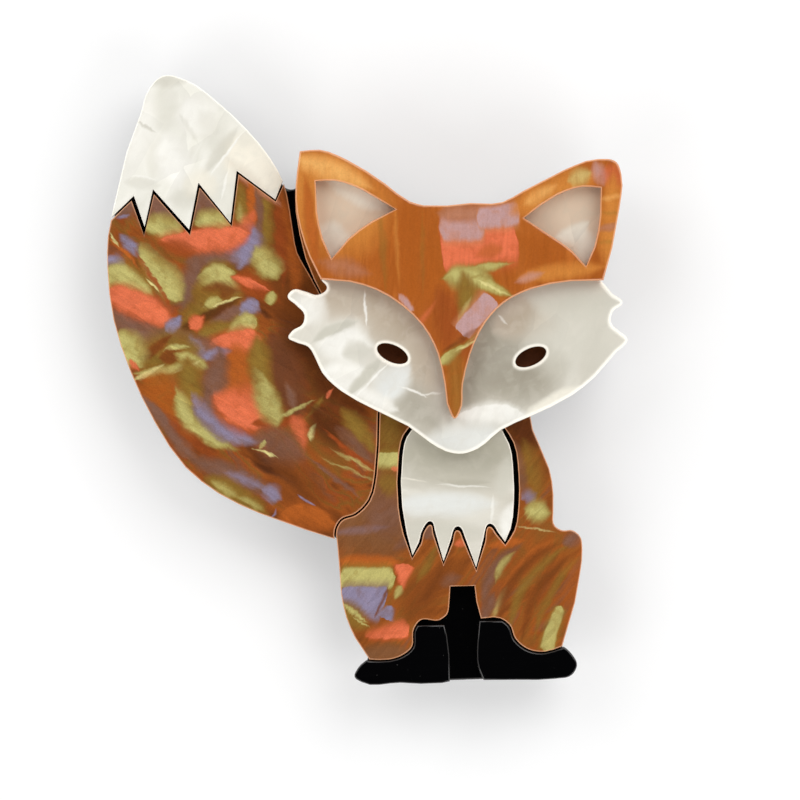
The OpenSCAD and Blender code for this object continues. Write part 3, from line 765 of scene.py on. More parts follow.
# %% Flakes of the tail
TAIL_FLAKES = flakes(
    (-6.9, 11, 22, 5, -76, 3, 1, 1, BROWN, .7),
    # Painted shade: the head's shadow on the tail beside its cheek.
    (-4.5, .8, 13, 4, -52, 2.5, 1, 1, DEEP_BROWN_AND_SHADE, .6),
    (-7.7, 13.5, 10, 1.2, -80, 2, 1, 1, ORANGE, .5),
    (-8.7, 14, 8, .9, -86, 2, .9, .9, RUST, .6),
    (-24.2, 17.3, 2.8, 1.8, 45, 2.5, .8, .6, MAUVE, .9),
    (-20.7, 17.2, 4.2, 3.4, -38, 3, .8, .8, MAUVE, .9),
    (-20.4, 15.2, 4, 1.8, -8, 3.5, .9, .4, GOLD, 1),
    (-16.3, 17.7, 4.2, 3.2, -60, 3, .7, .7, MAUVE, .95),
    (-15.5, 15.8, 3.8, 1.8, -4, 3.5, .7, .15, GOLD, 1),
    (-10.3, 15.6, 8, 1.3, -88, 3, .9, .6, OLIVE, .9),
    (-10.9, 19, 5.4, .9, -35, 3, .5, .5, ROSE, .7),
    (-12.5, 17, 4.8, 1.1, -84, 3, .9, .9, OLIVE, .95),
    (-12.6, 16.4, 2.4, .6, -84, 2, .9, .9, GOLD, .6),
    (-11.5, 17.4, 5.6, .8, -84, 3, .8, .6, ORANGE, .85),
    (-10.9, 16.6, 5, .7, -86, 2, .8, .8, MAUVE, .8),
    (-15.2, 12.4, 6, 1.5, 12, 3, .8, .5, MAUVE, .95),
    (-17.7, 9.8, 5.8, 1.7, 74, 3, .8, .6, MAUVE, .9),
    (-12.1, 13.4, 4.2, 2.5, 72, 3, 1, .4, LAVENDER, 1),
    (-12.1, 15.5, 3, 1, 66, 2.5, .8, .8, CORAL, .6),
    (-16.2, 14, 8.8, 2.1, 4, 4, .15, .5, CORAL, 1, -.35, -.25),
    (-18.8, 13.2, 3.6, 1.4, -12, 2, .8, 1, RUST, .6),
    (-10.2, 11.7, 3.6, 2, -55, 3, .9, .5, GOLD, 1, 0, -.3),
    (-23.6, 13.3, 3.2, .9, -48, 2.5, .5, .7, LAVENDER, .95),
    (-25.3, 11.5, 2.2, 1.5, -40, 3, .5, .5, LAVENDER, .95),
    (-24.4, 16.2, 1.3, .35, 15, 2, .7, .7, LAVENDER, .8),
    (-24, 9.7, 5.4, 2.5, -28, 3.5, .3, .5, GOLD, .95, 0, .2),
    (-20.7, 10.5, 6.6, 1.9, -52, 3.5, 1, .25, GOLD, 1, 0, -.3),
    (-24.4, 12.8, 3.8, .5, -45, 3, .5, .6, ORANGE, .95),
    (-21.3, 10, 7, .5, -56, 2.5, .4, .8, RUST, .9),
    (-21.5, 9.6, 1.9, .18, -50, 2, .6, .6, PALE, 1),
    (-25.3, 14, 1.6, .25, -55, 2, .7, .7, PALE, .9),
    (-14.9, 9, 5, 2.8, 10, 3, .9, .9, OLIVE, .85),
    (-14.7, 10.5, 4.2, 2, -12, 3, .25, 1.1, GOLD, 1, .4),
    (-14.7, 9, 3.2, 1.3, 0, 2, .7, .7, BROWN, .75),
    (-11.2, 9.3, 5, 1.6, -28, 2.5, .6, .9, RUST, .95, 0, .4),
    (-11.9, 9.8, 3.4, .7, -22, 2.5, .5, .9, CORAL, .85, 0, .3),
    (-10.5, 9.4, 2.4, .18, -30, 2, .6, .6, CORAL, .9),
    (-9.5, 8.2, 1.4, .9, 80, 3, .5, .5, GOLD, .9),
    (-16.7, 7, 4.8, 2, 48, 3, .9, .9, OLIVE, .85),
    (-15.5, 7.8, 1.8, 1, 20, 2.5, .5, .9, GOLD, .85),
    (-14.1, 7.9, 2.9, .32, 20, 2.5, .6, .6, PALE, 1),
    (-13.8, 6.5, 4, 1.2, 28, 2.5, .6, .8, MAUVE, .9),
    (-11.8, 7.3, 2, 1.4, 40, 3, .4, .5, LAVENDER, 1, 0, -.3),
    (-16.4, 6.1, 8, .9, 30, 2.5, .4, .7, DEEP_BROWN_AND_SHADE, .6),
    (-17, 5.7, 1.7, 1.3, 40, 2.5, .5, .3, CORAL, .95, 0, .3),
    (-15.2, 5, 3.4, 1.2, 20, 3, .8, .6, OLIVE, .9),
    (-12.4, 5.5, 3.2, 1.6, 26, 3.5, .5, .15, GOLD, 1, 0, -.5),
    (-13.3, 3.9, 5.4, 1.9, 6, 3.5, .15, .5, CORAL, 1, 0, -.6),
    (-22.4, 5.4, 7.6, 3, -24, 3, .5, .9, MAUVE, .95),
    (-22.5, 7.4, 7.6, 2.2, -26, 4, .25, .4, CORAL, 1, .1, .1),
    (-19.2, 4.5, 4.4, 1.1, -10, 2, .8, .8, MAUVE, .8),
    (-19.5, 5.5, 2.1, 1.2, 45, 3, .4, .4, LAVENDER, 1),
    (-16.2, 3.3, 4, 1.5, -25, 2, .9, .9, MAUVE, .7),
    (-17.1, 3.1, 2.8, 1.1, -62, 3, .6, .6, LAVENDER, .95),
    (-15.2, 2.6, 3.2, 1, 16, 3, .6, .5, LAVENDER, .95, 0, .2),
    (-19.8, 2.4, 6, 3.6, 15, 3, 1, 1, OLIVE, .9),
    (-21.5, 2.9, 4.6, .8, 38, 2.5, .6, .9, BROWN, .85),
    (-19.5, 2.4, 2.6, 1.3, 15, 2.5, .6, .6, BROWN, .85),
    (-19, 3.4, 2.4, .5, 6, 2.5, .7, .7, GOLD, .95, .9),
    (-17.6, 1.9, 3.4, 1.1, -25, 3, .6, .9, GOLD, .95),
    (-20.2, 1, 5.8, .7, 12, 3, .6, .8, GOLD, .9, -.4),
    (-21.9, .7, 3.4, .4, 28, 2.5, .6, .6, PALE, .9),
    (-17.9, 1.3, 2.6, .4, 22, 2, .6, .6, PALE, .8),
    (-23.8, 3, 4.2, 2.4, -58, 3, .9, .3, GOLD, 1),
    (-23.3, 1.4, 1.4, .6, -60, 2.5, .5, .5, CORAL, .8),
    (-20.2, -1.6, 5.6, 3.6, -40, 3, 1, 1, COPPER, .5),
    (-12.9, .4, 6, 3, -86, 3, 1, 1, ORANGE, .7),
    (-15.4, -.8, 7.6, 1.9, 79, 3, .8, .9, MAUVE, .9),
    (-17.7, -.4, 5, 1.8, -82, 3, .8, .8, OLIVE, .95),
    (-16.4, -4.2, 7, 1.2, -44, 3, .9, .9, OLIVE, .8, -1.5),
    (-17.1, -4.7, 7.8, 1.4, -46, 3, 1, .7, GOLD, 1, -1.5, .2),
    (-14.8, -4.9, 7.6, 1.4, -34, 3, .9, .8, LAVENDER, .9, -1.6),
    (-12.5, -3, 5.6, 3.1, -30, 2.5, 1.3, .2, CORAL, 1, .2),
    (-8.9, -4.2, 5, .8, 8, 3, .8, .4, RUST, .95, -.4, .3),
    (-8.2, .5, 8.6, 2.6, -72, 3, .8, .8, PLUM, .8),
    (-7.6, -1.5, 2.8, .7, -75, 2, .8, .8, MAUVE, .9),
    (-10.7, 1.5, 5.6, 1.7, -84, 3, .9, .9, OLIVE, .95),
    (-9.9, -1.9, 5.4, 1.7, -70, 2.5, .5, 1.2, GOLD, .9, 0, -.3),
    (-7.2, -2.9, 3.8, .4, 24, 2.5, .6, .8, GOLD, .85, 0, .3),
    (-6.6, -5, 3.4, 1.1, -66, 2.5, .9, .9, CORAL, .65, .6, .4),
    (-5.5, -5.2, 1.7, .45, 70, 2.5, .6, .8, PALE, .95, .8),
    (-5.2, -2.8, 2.6, .5, 50, 2, .8, .8, OLIVE, .8),
    (-3.6, -1.4, 1.3, .4, 55, 2, .6, .6, CORAL, .85, 0, .5),
    (-19.7, -5, 8.6, 1.1, -52, 3, .6, .6, MAUVE, .9),
    (-17, -6.5, 9, 1, -42, 3, .9, .9, RUST, .5, -.8),
    (-8.7, -6.7, 5.4, 2.6, -25, 2.5, 1, 1, MAUVE, .7),
    (-10.5, -6.4, 1.1, .45, 60, 2.5, .7, .7, GOLD, .9),
    (-10.2, -7.3, 2.8, .3, -22, 2, .6, .6, PALE, .95),
    (-13.5, -9.6, 8.6, 1.5, -22, 3, .8, .8, MAUVE, .95),
    (-12.2, -10, 3.8, .8, -18, 2.5, .9, .9, LAVENDER, .6),
    (-13.2, -11.5, 6.6, 1.7, -30, 3, .8, .8, OLIVE, .95),
    (-14.2, -10.9, 2.8, .7, -32, 2.5, .8, .8, GOLD, .55),
    (-11.7, -12.3, 2.6, .6, -25, 2.5, .8, .8, GOLD, .55),
    (-9.6, -11.4, 2.2, 1.4, -35, 2.5, .6, .6, LAVENDER, .85),
    (-6.7, -10, 6, 3, -35, 2, 1, 1, BROWN, .5),
    (-5.9, -13.7, 5.8, 2.3, -10, 3, .15, .7, ORANGE, .6, .2),
    (-6.1, -12.1, 2.1, .3, -27, 2.5, .6, .6, LAVENDER, 1),
    (-9.4, -13.3, 1, .2, 60, 2, .7, .7, LAVENDER, .8),
    # Painted shade below the face.
    (-3.9, -4.8, 5.4, 2.2, -50, 2, 1, 1, DEEP_BROWN_AND_SHADE, .7),
    (-.9, -5, 5, 1.5, -50, 3, .7, .7, OLIVE, .85),
    (-1.2, -6.5, 4.8, 1, -45, 3, .9, .9, MAUVE, .7),
    (-1.8, -7.2, 6.4, .5, -42, 2.5, .6, .8, RUST, 1),
    (-1.2, -8.2, 5, .3, -28, 2, .8, .9, GOLD, .65),
    (-1.7, -9, 5.2, .25, -25, 2, .8, .9, GOLD, .5),
    (-3.2, -9.8, 6, .5, -38, 2, .9, .9, MAUVE, .8),
)
print("flakes in the tail:", len(TAIL_FLAKES))

# %% Flakes of the body
BODY_FLAKES = flakes(
    # The next four rows are painted shade: in the two eye holes, below the chin and where the head
    # meets the body.
    (1.6, 2.7, 7.8, 4.6, 0, 2, .9, .9, DEEP_BROWN_AND_SHADE, 1),
    (16.3, 2.4, 5.8, 4.6, 0, 2, .9, .9, DEEP_BROWN_AND_SHADE, 1),
    (15.6, -5.3, 4.6, 3.4, -30, 2, 1.1, 1.1, DEEP_BROWN_AND_SHADE, .7),
    (2.2, -4.6, 6.6, 3.4, -88, 2.5, .7, .7, DEEP_BROWN_AND_SHADE, .6),
    (2.2, -5.4, 4.6, 2.2, -88, 2.5, 1, 1, OLIVE, .55),
    (.4, -13.2, 9.4, 7.8, -20, 3, .7, .7, FLANK, .95),
    (2, -13.6, 4.2, 3.2, 20, 2, 1, 1, MAUVE, .7),
    (-.8, -15, 5.2, .7, 6, 2, 1, 1, LAVENDER, .2),
    (2.1, -10.2, 1.8, 1.9, 0, 2.5, 1, 1, OLIVE, .6),
    (2.1, -7.9, 2.2, 1.4, 0, 30, .12, .6, GOLD, 1),
    (2.9, -8.8, .9, .5, 0, 3, .5, .5, CORAL, .7),
    (4, -15.9, 3.2, .8, 40, 2.5, 1, 1, MAUVE, .6),
    (6.2, -15.2, 1.6, 1.4, 70, 2.5, .8, .8, MAUVE, .8),
    (.2, -18.2, 5.8, 1, -2, 4, 1, .8, ORANGE, .8),
    (0, -19.8, 5.5, 2.1, 0, 16, .2, .2, GOLD, 1, 0, .05),
    (3.6, -19.7, 2.6, 1, -96, 12, .5, .5, CORAL, 1, 0, .9),
    (3.1, -21.2, 1.3, .6, 68, 3, .7, .7, GOLD, .75, 0, -.3),
    (-.4, -21.8, 4.6, 2.4, -14, 20, .12, .5, LAVENDER, 1, 0, -.5),
    (2.1, -23.2, 1.6, 1, 62, 12, .35, .35, LAVENDER, 1, 0, .6),
    (1.5, -22.2, 3.2, .28, 68, 6, .8, .8, BROWN, .9),
    (-1.6, -23.5, 3.9, 1.7, -40, 2.5, 1, 1, OLIVE, .7),
    (-1.3, -23.2, 3, .4, -38, 2.5, .7, .9, GOLD, .9),
    (-.6, -24.2, 2, .2, -34, 2, .7, .7, GOLD, .7),
    (1.6, -27.3, 4.6, 1.6, 5, 2.5, .8, .8, FLANK, .9),
    (2.1, -25.3, 4.4, 1.1, 12, 12, 1.3, .2, CORAL, .95, 0, -.7),
    (8.2, -20, 2.2, 1, 15, 2, 1.1, 1.1, MAUVE, .5),
    (5.4, -21.6, 5.6, 2.8, 60, 2, 1, 1, BROWN, .5),
    (7, -19.8, 5.1, 1, 58, 2.5, 1, 1, BROWN, .5, .6),
    (6, -18.4, 3.9, .7, 62, 2.5, .9, .9, OLIVE, .5),
    (9.5, -16.3, 1.3, .6, 10, 2, .9, .9, CORAL, .6),
    (13.9, -16.3, 3.4, .7, 8, 2.5, .9, .9, ORANGE, .7),
    (12.6, -19.2, 6.6, 1, 60, 2.5, 1, 1, MAUVE, .8, 1.6),
    (13.5, -18.5, 3.2, .6, 58, 2.5, .8, .8, GOLD, .6, 1),
    (12.1, -22.8, 3, .9, 66, 2.5, .9, .9, MAUVE, .8),
    (13.2, -22.4, 3.6, .5, 66, 2.5, .9, .9, GOLD, .5),
    (14.8, -19.6, 9.6, .9, 55, 2.5, 1, 1, BROWN, .6, 3.2),
    (16, -20.2, 10, .8, 56, 2.5, .9, .9, OLIVE, .6, 3),
    (17.2, -20.9, 10, .8, 58, 2.5, .9, .9, BROWN, .6, 3),
    (18.4, -21.2, 9, .6, 60, 2.5, .9, .9, OLIVE, .5, 2.6),
    (15.6, -18, 7, .5, 44, 2.5, .9, .9, ORANGE, .5, 2.4),
    (20.6, -15.9, 2, 1.2, 20, 2.5, .9, .9, MAUVE, .8),
    (16.2, -11.6, 1.5, 1.1, 20, 2.5, .9, .9, LAVENDER, .7),
    (16.4, -9, 5.6, 1.8, -76, 2.5, 1, 1, OLIVE, .5),
    (15.3, -9, 5.1, .9, -80, 2.5, 1, 1, MAUVE, .5),
    (17, -13.1, 2.3, 1.6, -10, 2.5, 1, 1, GOLD, 1),
    (16.8, -14.9, 3.6, .22, -8, 2, .8, .8, PALE, .5),
    (18.55, -24.9, 5, 1.2, 73, 16, .2, .2, GOLD, .8, 0, .2),
    (21, -20, 9.2, 1.8, 84, 2.5, 1, 1, ORANGE, .2),
)
print("flakes in the body:", len(BODY_FLAKES))

# %% [markdown]
# ## The forehead mask
#
# The mask is cut from a brighter part of the sheet, with a lavender and a coral window over a green
# gold flake between the ears, and fine upright streaks on its left side.

# %% Flakes of the forehead mask
MASK_FLAKES = flakes(
    (-3.4, 17.6, 12.6, 7.2, -30, 3, .8, .8, AMBER, .75),
    (-3.6, 20.9, 8, 1.8, -20, 2.5, .8, .8, BRIGHT, .9, .3),
    (-5.6, 15.8, 8, .9, -82, 2.5, .8, .8, ORANGE, .7),
    (4.8, 12.6, 10, 5.4, -86, 3, 1, 1, COPPER, .7),
    (8.4, 5.6, 7, 3.2, -70, 2.5, 1, 1, RUST, .5),
    (-2.2, 11.2, 4.6, 1.4, -14, 2, 1, 1, ROSE, .5),
    (1.6, 13.2, 7.6, .6, -86, 2, 1, 1, OLIVE, .3),
    (3, 13.6, 7.6, .4, -88, 2, 1, 1, AMBER, .5),
    (4.4, 12.6, 9, .9, -86, 2, 1, 1, COPPER, .5),
    (5.6, 12.8, 7.6, .4, -90, 2, 1, 1, OLIVE, .3),
    (6.4, 11.6, 9, .8, -90, 2, 1, 1, COPPER, .5),
    (5.6, 6, 4, .5, 55, 2, 1, 1, CORAL, .4),
    (17.6, 12.5, 5.6, 3, -35, 2.5, 1, 1, COPPER, .7),
    (19.3, 10.8, 8, 1.3, 8, 3, .9, .7, AMBER, .7, .2),
    (16.2, 10.2, 2.6, .7, 18, 2, .9, .9, LILAC, .4),
    (11.2, 13.3, 7.7, 3.9, 9, 30, .2, .5, CORAL, .95, 0, .1),
    (9.5, 15.2, 4.5, 2.5, 3, 12, .9, .25, LILAC, .85),
    (9.7, 16.6, 4.8, 1.3, -2, 3, .9, .9, ROSE, .75),
    (13.1, 16.3, 4.3, 2.1, 8, 12, .25, .25, LILAC, .95),
    (12.2, 12.8, 2.4, 1.2, 15, 2, 1, 1, ORANGE, .4),
    (10.8, 10.9, 6.6, .9, 12, 3, .3, .6, GOLD, .95, 0, .4),
    (10.1, 10.2, 4.6, 1.9, -6, 3, .5, .9, GOLD, 1, 0, .2),
    (12.3, 9.3, 4.2, 1, -24, 3, .4, .5, GOLD, .95, 0, .5),
    (12.5, 9.2, 3.4, .3, -25, 2.5, .6, .6, PALE, .9, 0, .4),
    (10, 8, 5.2, 1.6, -82, 2.5, .9, .9, OLIVE, .9),
    (9.6, 6.6, 3.4, .5, 66, 2.5, .7, .7, GOLD, .6),
    (10.9, 6.4, 4.8, 1.9, 49, 30, .1, .1, LILAC, 1),
    (9.4, 4, 4.2, .5, 32, 3, .7, .7, BROWN, .75),
    (8.5, 2.6, 3.2, .8, 38, 3, .2, .9, GOLD, .9, 0, .8),
    (9.9, 3.4, 2.6, .25, 28, 2.5, .7, .7, PALE, .7),
    (8.9, -.4, 7, 1.6, -88, 2.5, 1, 1, OLIVE, .35),
    (3.9, 7.7, 2.2, .55, -48, 3, .5, .5, LILAC, .9),
    (18.6, 18.6, 8.6, 2.6, 24, 3, .9, .9, AMBER, .8),
    (17.2, 18.4, 3.6, 1, 30, 2.5, .8, .8, BRIGHT, .7),
    (21.2, 20.2, 2.4, 1.3, 20, 2.5, .8, .8, PALE, .45),
    (23.2, 20.6, 2.4, 1.1, -75, 2.5, .8, .8, LILAC, .55),
    (24.4, 20.2, 2.6, 1.6, -75, 2.5, .9, .9, CORAL, .4),
    (24.3, 15.6, 9, 1.8, 88, 3, .9, .9, AMBER, .8),
    (24.4, 18.2, 2.6, .5, 6, 2.5, .9, .9, BRIGHT, .5),
    (24.4, 16.6, 2.6, .4, -3, 2.5, .9, .9, OLIVE, .35),
    (24.3, 15.2, 2.6, .6, 6, 2.5, .9, .9, ROSE, .6),
    (24.2, 13.8, 2.6, .4, 0, 2.5, .9, .9, OLIVE, .35),
)
print("flakes in the mask:", len(MASK_FLAKES))

# %% [markdown]
# ## The white pearl sheets
#
# White pearl is the same paste with no dye, so its folds show as soft patches of white, grey and
# cream, and here and there a sharp crease. The ears' insides are the same plate as the face; their
# warm beige is painted orange light, bounced from the mask's walls. The face's darker patches
# beside the mask and the bib's grey top are painted shade.

# %% Flakes of the face, the tail's tip and the bib
FACE_FLAKES = flakes(
    # The ears' beige is painted orange light, bounced from the mask's walls.
    (-2.9, 16.8, 11.5, 11.5, 0, 3, .5, .5, BOUNCED_ORANGE_BEIGE, 1),
    (21, 16.5, 11.5, 11.5, 0, 3, .5, .5, BOUNCED_ORANGE_BEIGE, 1),
    (20.7, 14.6, 3.4, 1.3, 24, 2.5, .5, .9, CREAM, .7, -.6),
    # The next three cream rows are painted light that lifts the shade of the mask's walls in the ears.
    (-3.6, 13.4, 4.4, 3, 80, 2.5, 1, 1, CREAM, .7),
    (-1, 18.7, 6.4, 1.6, -30, 2.5, 1, 1, CREAM, .8),
    (21.9, 13.2, 3.4, 1.8, -70, 2.5, 1, 1, CREAM, .6),
    # The next three rows are beige pearl darkened with painted shade where the mask's edge shades the
    # face; the fourth is painted shade below the nose.
    (-2.8, 8.2, 6.4, 3.4, -10, 2.5, 1, 1, FAWN_AND_SHADE, .8),
    (2.9, 6, 10.5, 4.8, -48, 2.5, 1, 1, FAWN_AND_SHADE, 1),
    (5.4, 1.4, 6, 3.4, -72, 2.5, 1, 1, FAWN_AND_SHADE, .8),
    (4.9, -2.8, 6.2, 3.4, -42, 2.5, .8, .9, PAINTED_SHADE_GREY, .6),
    (-5.8, 7.2, 3.4, 2.6, 60, 2, 1, 1, WHITE, .8),
    (-2.2, 3.6, 5.2, 3.6, -4, 2.5, .4, .8, WHITE, .9),
    (-1, 2.8, 2.8, 1.6, 10, 2.5, 1, 1, GREY, .6),
    (-3.4, 5.1, 4.6, .9, 26, 2.5, .6, .3, GREY, .95, .8),
    (-.2, 7.2, 3.2, .26, -88, 3, .8, .8, WHITE, .9),
    (-2, .9, 5.4, 1.5, -5, 2.5, .6, .8, WHITE, .95, .4),
    (-2, -.6, 3.8, 1.7, -30, 2.5, 1, 1, WHITE, .8),
    (2.5, -.4, 4.6, 2.4, 48, 2.5, .9, .3, MILK, .95),
    (.8, -1.9, 4.6, 1.2, -28, 2.5, 1, 1, WHITE, .8),
    (-.3, .2, 5, .9, 48, 3, .9, .15, GREY, .95),
    (.4, -.1, 4.8, .24, 48, 3, .7, .7, WHITE, 1),
    (4.6, -1.2, 2.8, .24, -20, 3, .7, .7, WHITE, .9),
    (6.6, -1.4, 2, .2, 8, 2.5, .7, .7, WHITE, .6),
    # The next three rows are painted shade along the mask's right edge, the second of them on fawn
    # pearl.
    (11.6, 2.4, 12.5, 4.8, 63, 2.5, 1, 1, PAINTED_SHADE_GREY, .9),
    (16.2, 6.4, 7, 3.6, 24, 2.5, .9, .9, FAWN_AND_SHADE, 1),
    (15.6, .6, 8.4, 4.6, 14, 2.5, 1, 1, PAINTED_SHADE_GREY, .9),
    (20.4, 4.2, 9, 6.6, 20, 2.5, 1, 1, GREY, .5),
    (20.6, 8, 8.6, 3.4, -4, 2.5, .9, .7, GREY, .8),
    (18.4, -2.1, 5.6, 1, 28, 2.5, .9, .9, CREAM, .8),
    (12.2, -3.3, 6.8, 1.5, 2, 3, .15, 1.1, WHITE, 1, .3, -.2),
    (10.2, -5.9, 8.4, 2.4, 4, 2.5, 1, 1, MILK, .8),
    (6.6, 2, 3.4, .2, -74, 2, .8, .8, GREY, .6),
    (13.6, 6, 1.4, .2, -48, 2.5, .7, .7, WHITE, .6),
)
TIP_FLAKES = flakes(
    (-22.7, 24.5, 8, 2.2, 74, 2.5, 1, 1, WHITE, .7),
    (-20.1, 27.3, 5.2, 1.8, 88, 3, .9, .5, GREY, .2),
    (-19.5, 21.9, 5.6, 2.8, -76, 2.5, .7, .5, WHITE, .95),
    (-17, 26.4, 4.2, 3.2, -58, 3, .8, .4, WHITE, .95),
    (-17.8, 25.1, 3.4, .5, -58, 2.5, .8, .6, GREY, .4),
    (-15.4, 24.6, 5, 2, -60, 2.5, 1, 1, GREY, .25),
    (-11.4, 21.6, 6.8, 4.6, -42, 3, .9, .3, CREAM, 1),
    # Painted shade beside the notch of the teeth, on fawn pearl.
    (-11.9, 20.2, 5, 1.2, -42, 2.5, 1, 1, FAWN_AND_SHADE, .2),
    (-14.6, 22.9, 5.6, 1, 53, 2.5, .9, .3, GREY, .45),
    (-14, 22.6, 5.4, .24, 53, 3, .8, .8, WHITE, 1),
    (-16.7, 19.4, 3.4, 2.4, 30, 2.5, .9, .9, CREAM, .8),
    (-18.4, 18, 3, 1.6, 0, 2, 1, 1, GREY, .35),
    (-22.3, 20.4, 2.4, .26, -8, 2.5, .7, .7, WHITE, .9, .8),
    (-22.4, 19.7, 3.4, 1, -4, 2.5, .6, 1, GREY, .25),
    (-22.1, 25.4, 2.2, .3, -28, 2.5, .7, .9, SHADE_AND_GREY_CREASE, .5),
    (-14.3, 19.4, 2.8, .24, 74, 3, .8, .8, WHITE, .9),
    (-20.2, 29.9, 3.8, 1, -4, 2, 1, 1, GREY, .5),
)
BIB_FLAKES = flakes(
    # Painted shadow of the chin on the top of the bib.
    (9.2, -7.4, 14, 4.8, 0, 3, .9, .9, SHADE_AND_GREY_CREASE, .9),
    (4.6, -10, 2.6, .2, -10, 2.5, .7, .9, CREAM, .6),
    (9.6, -10.2, 5, .7, -3, 2.5, 1, .2, SHADE_AND_GREY_CREASE, .6),
    (9.6, -10.6, 5, .18, -3, 2.5, .7, .9, WHITE, .6),
    (7.6, -12.4, 9.6, 1.9, 1, 3, .6, 1, MILK, .95),
    (12.5, -13, 2.8, .3, 85, 2.5, .6, .9, WHITE, .6),
    (14.2, -14, 3.6, 1.3, 72, 2.5, .8, .4, WHITE, .8),
    (13.8, -9.8, 4, 1.4, 80, 2.5, 1, 1, GREY, .5),
    (7.6, -15.2, 8, 2, 0, 2, 1, 1, GREY, .6),
)
print("flakes in the white sheets:", len(FACE_FLAKES) + len(TIP_FLAKES) + len(BIB_FLAKES))

# %% Sheets and their materials
TAIL_FOLDS = [
    (.28, 84, 42, 16), (.38, 116, 60, 22), (.46, 146, 76, 28),
    (.52, 128, 82, 32), (.58, 146, 72, 28), (.66, 124, 74, 46),
    (.76, 150, 80, 30),
]
BODY_FOLDS = [
    (.30, 120, 64, 24), (.41, 138, 74, 27), (.48, 152, 82, 30),
    (.53, 136, 82, 32), (.60, 150, 78, 28), (.68, 130, 78, 46),
    (.78, 158, 86, 32),
]
MASK_FOLDS = [
    (.30, 156, 80, 24), (.42, 168, 89, 30), (.50, 177, 97, 37),
    (.56, 164, 86, 28), (.64, 180, 99, 38), (.76, 190, 112, 46),
]
PEARL_FOLDS = [
    (.30, 220, 218, 206), (.46, 234, 232, 221), (.60, 240, 238, 228),
    (.76, 226, 223, 210),
]
FACE_FOLDS = [
    (.30, 206, 201, 187), (.46, 216, 211, 198), (.60, 224, 220, 208),
    (.76, 210, 205, 190),
]
# Colours of the highlight painted on the rims.
COPPER_RIM_HIGHLIGHT = srgb(222, 160, 116)
PEARL_RIM_HIGHLIGHT = srgb(252, 248, 236)
SHEETS = {
    "copper_tail": Sheet(
        TAIL_FOLDS, (7, 3), (1.6, .35), -35, .4, .3, .6, .3, .85, TAIL_FLAKES, COPPER_RIM_HIGHLIGHT, .7, .3
    ),
    "copper_body": Sheet(
        BODY_FOLDS, (8, 2.5), (2.2, .35), 50, .4, .2, .5, .15, .5, BODY_FLAKES, COPPER_RIM_HIGHLIGHT, .7, .3
    ),
    "copper_mask": Sheet(
        MASK_FOLDS, (10, 2), (4, .4), 88, .25, .1, .3, .15, .5, MASK_FLAKES, COPPER_RIM_HIGHLIGHT, .7, .2
    ),
    "pearl_face": Sheet(
        FACE_FOLDS, (7, 4), (2, .6), 60, .05, .16, .05, .15, .6, FACE_FLAKES, PEARL_RIM_HIGHLIGHT, .8, .1
    ),
    "pearl_tip": Sheet(
        PEARL_FOLDS, (6, 3.5), (2, .6), 60, .05, .14, .05, .15, .6, TIP_FLAKES, PEARL_RIM_HIGHLIGHT, .7, .1
    ),
    "pearl_bib": Sheet(
        FACE_FOLDS, (9, 3), (2, .6), 0, .06, .08, .05, .15, .5, BIB_FLAKES, PEARL_RIM_HIGHLIGHT, .7, .1
    ),
}
MATERIALS = {name: sheet_material(name, sheet) for name, sheet in SHEETS.items()}
print("sheet materials:", sorted(MATERIALS))

# %% [markdown]
# ## Black acetate and the pin's metal
#
# The black sheet has no pearl, so it lives by its polish alone: faint buffing marks change how sharp
# the gloss is, a few specks of dust lie on it, and its rims get a faint grey painted highlight. The pin
# fitting is steel, brushed along its length.

# %% Black acetate
BLACK = srgb(3, 3, 4)
DUST = srgb(120, 118, 116)
BLACK_RIM_HIGHLIGHT = srgb(120, 112, 110)
SPECK_SCALE = 3.5
SPECK_EDGE = (0.74, 0.78)
SPECK_SHARE = 0.35
BLACK_RIM_HIGHLIGHT_SHARE = 0.12
# The streaks change the roughness by the first value, from the second upwards.
BUFFED = (0.12, 0.06)


def plain_grain(tree, **values):
    """Place and grain of a material that has no marbling."""
    place = group_node(tree, STIRRED_GROUP, Fine_Stir=level(0.1), Broad_Stir=level(0.2))
    return place, group_node(
        tree, GRAIN_GROUP, Plain=place["Plain"], Stirred=place["Stirred"], **values
    )


def black_acetate():
    """Black polished sheet with faint buffing marks, specks of dust and a painted highlight on its
    rims.
    """
    material, tree, shader = new_material("black_acetate")
    place, grain = plain_grain(tree)
    specks = ramp(tree, noise(tree, place["Plain"], SPECK_SCALE), *SPECK_EDGE)
    colour = blend(tree, maths(tree, "MULTIPLY", specks, SPECK_SHARE), BLACK, DUST)
    # Painted highlight: the rim is painted a little grey.
    edge = group_node(tree, RIM_HIGHLIGHT_GROUP)["Share"]
    colour = blend(tree, maths(tree, "MULTIPLY", edge, BLACK_RIM_HIGHLIGHT_SHARE), colour, BLACK_RIM_HIGHLIGHT)
    rough = maths(tree, "MULTIPLY_ADD", grain["Streaks"], *BUFFED)
    fill(tree, shader, Base_Color=colour, Roughness=rough)
    return material


MATERIALS["black"] = black_acetate()
print("nodes of the black acetate:", len(MATERIALS["black"].node_tree.nodes))

# %% Brushed steel
STEEL = srgb(196, 196, 198)
DULL_STEEL = srgb(160, 158, 156)
FILM_NOISE = (0.8, 3.0)
FILM_EDGE = (0.4, 0.7)
BRUSHED = (0.3, 0.2)
MARK_SIZE = (3, 0.1, 0.1)
MARK_DEPTH = 0.02 * MM


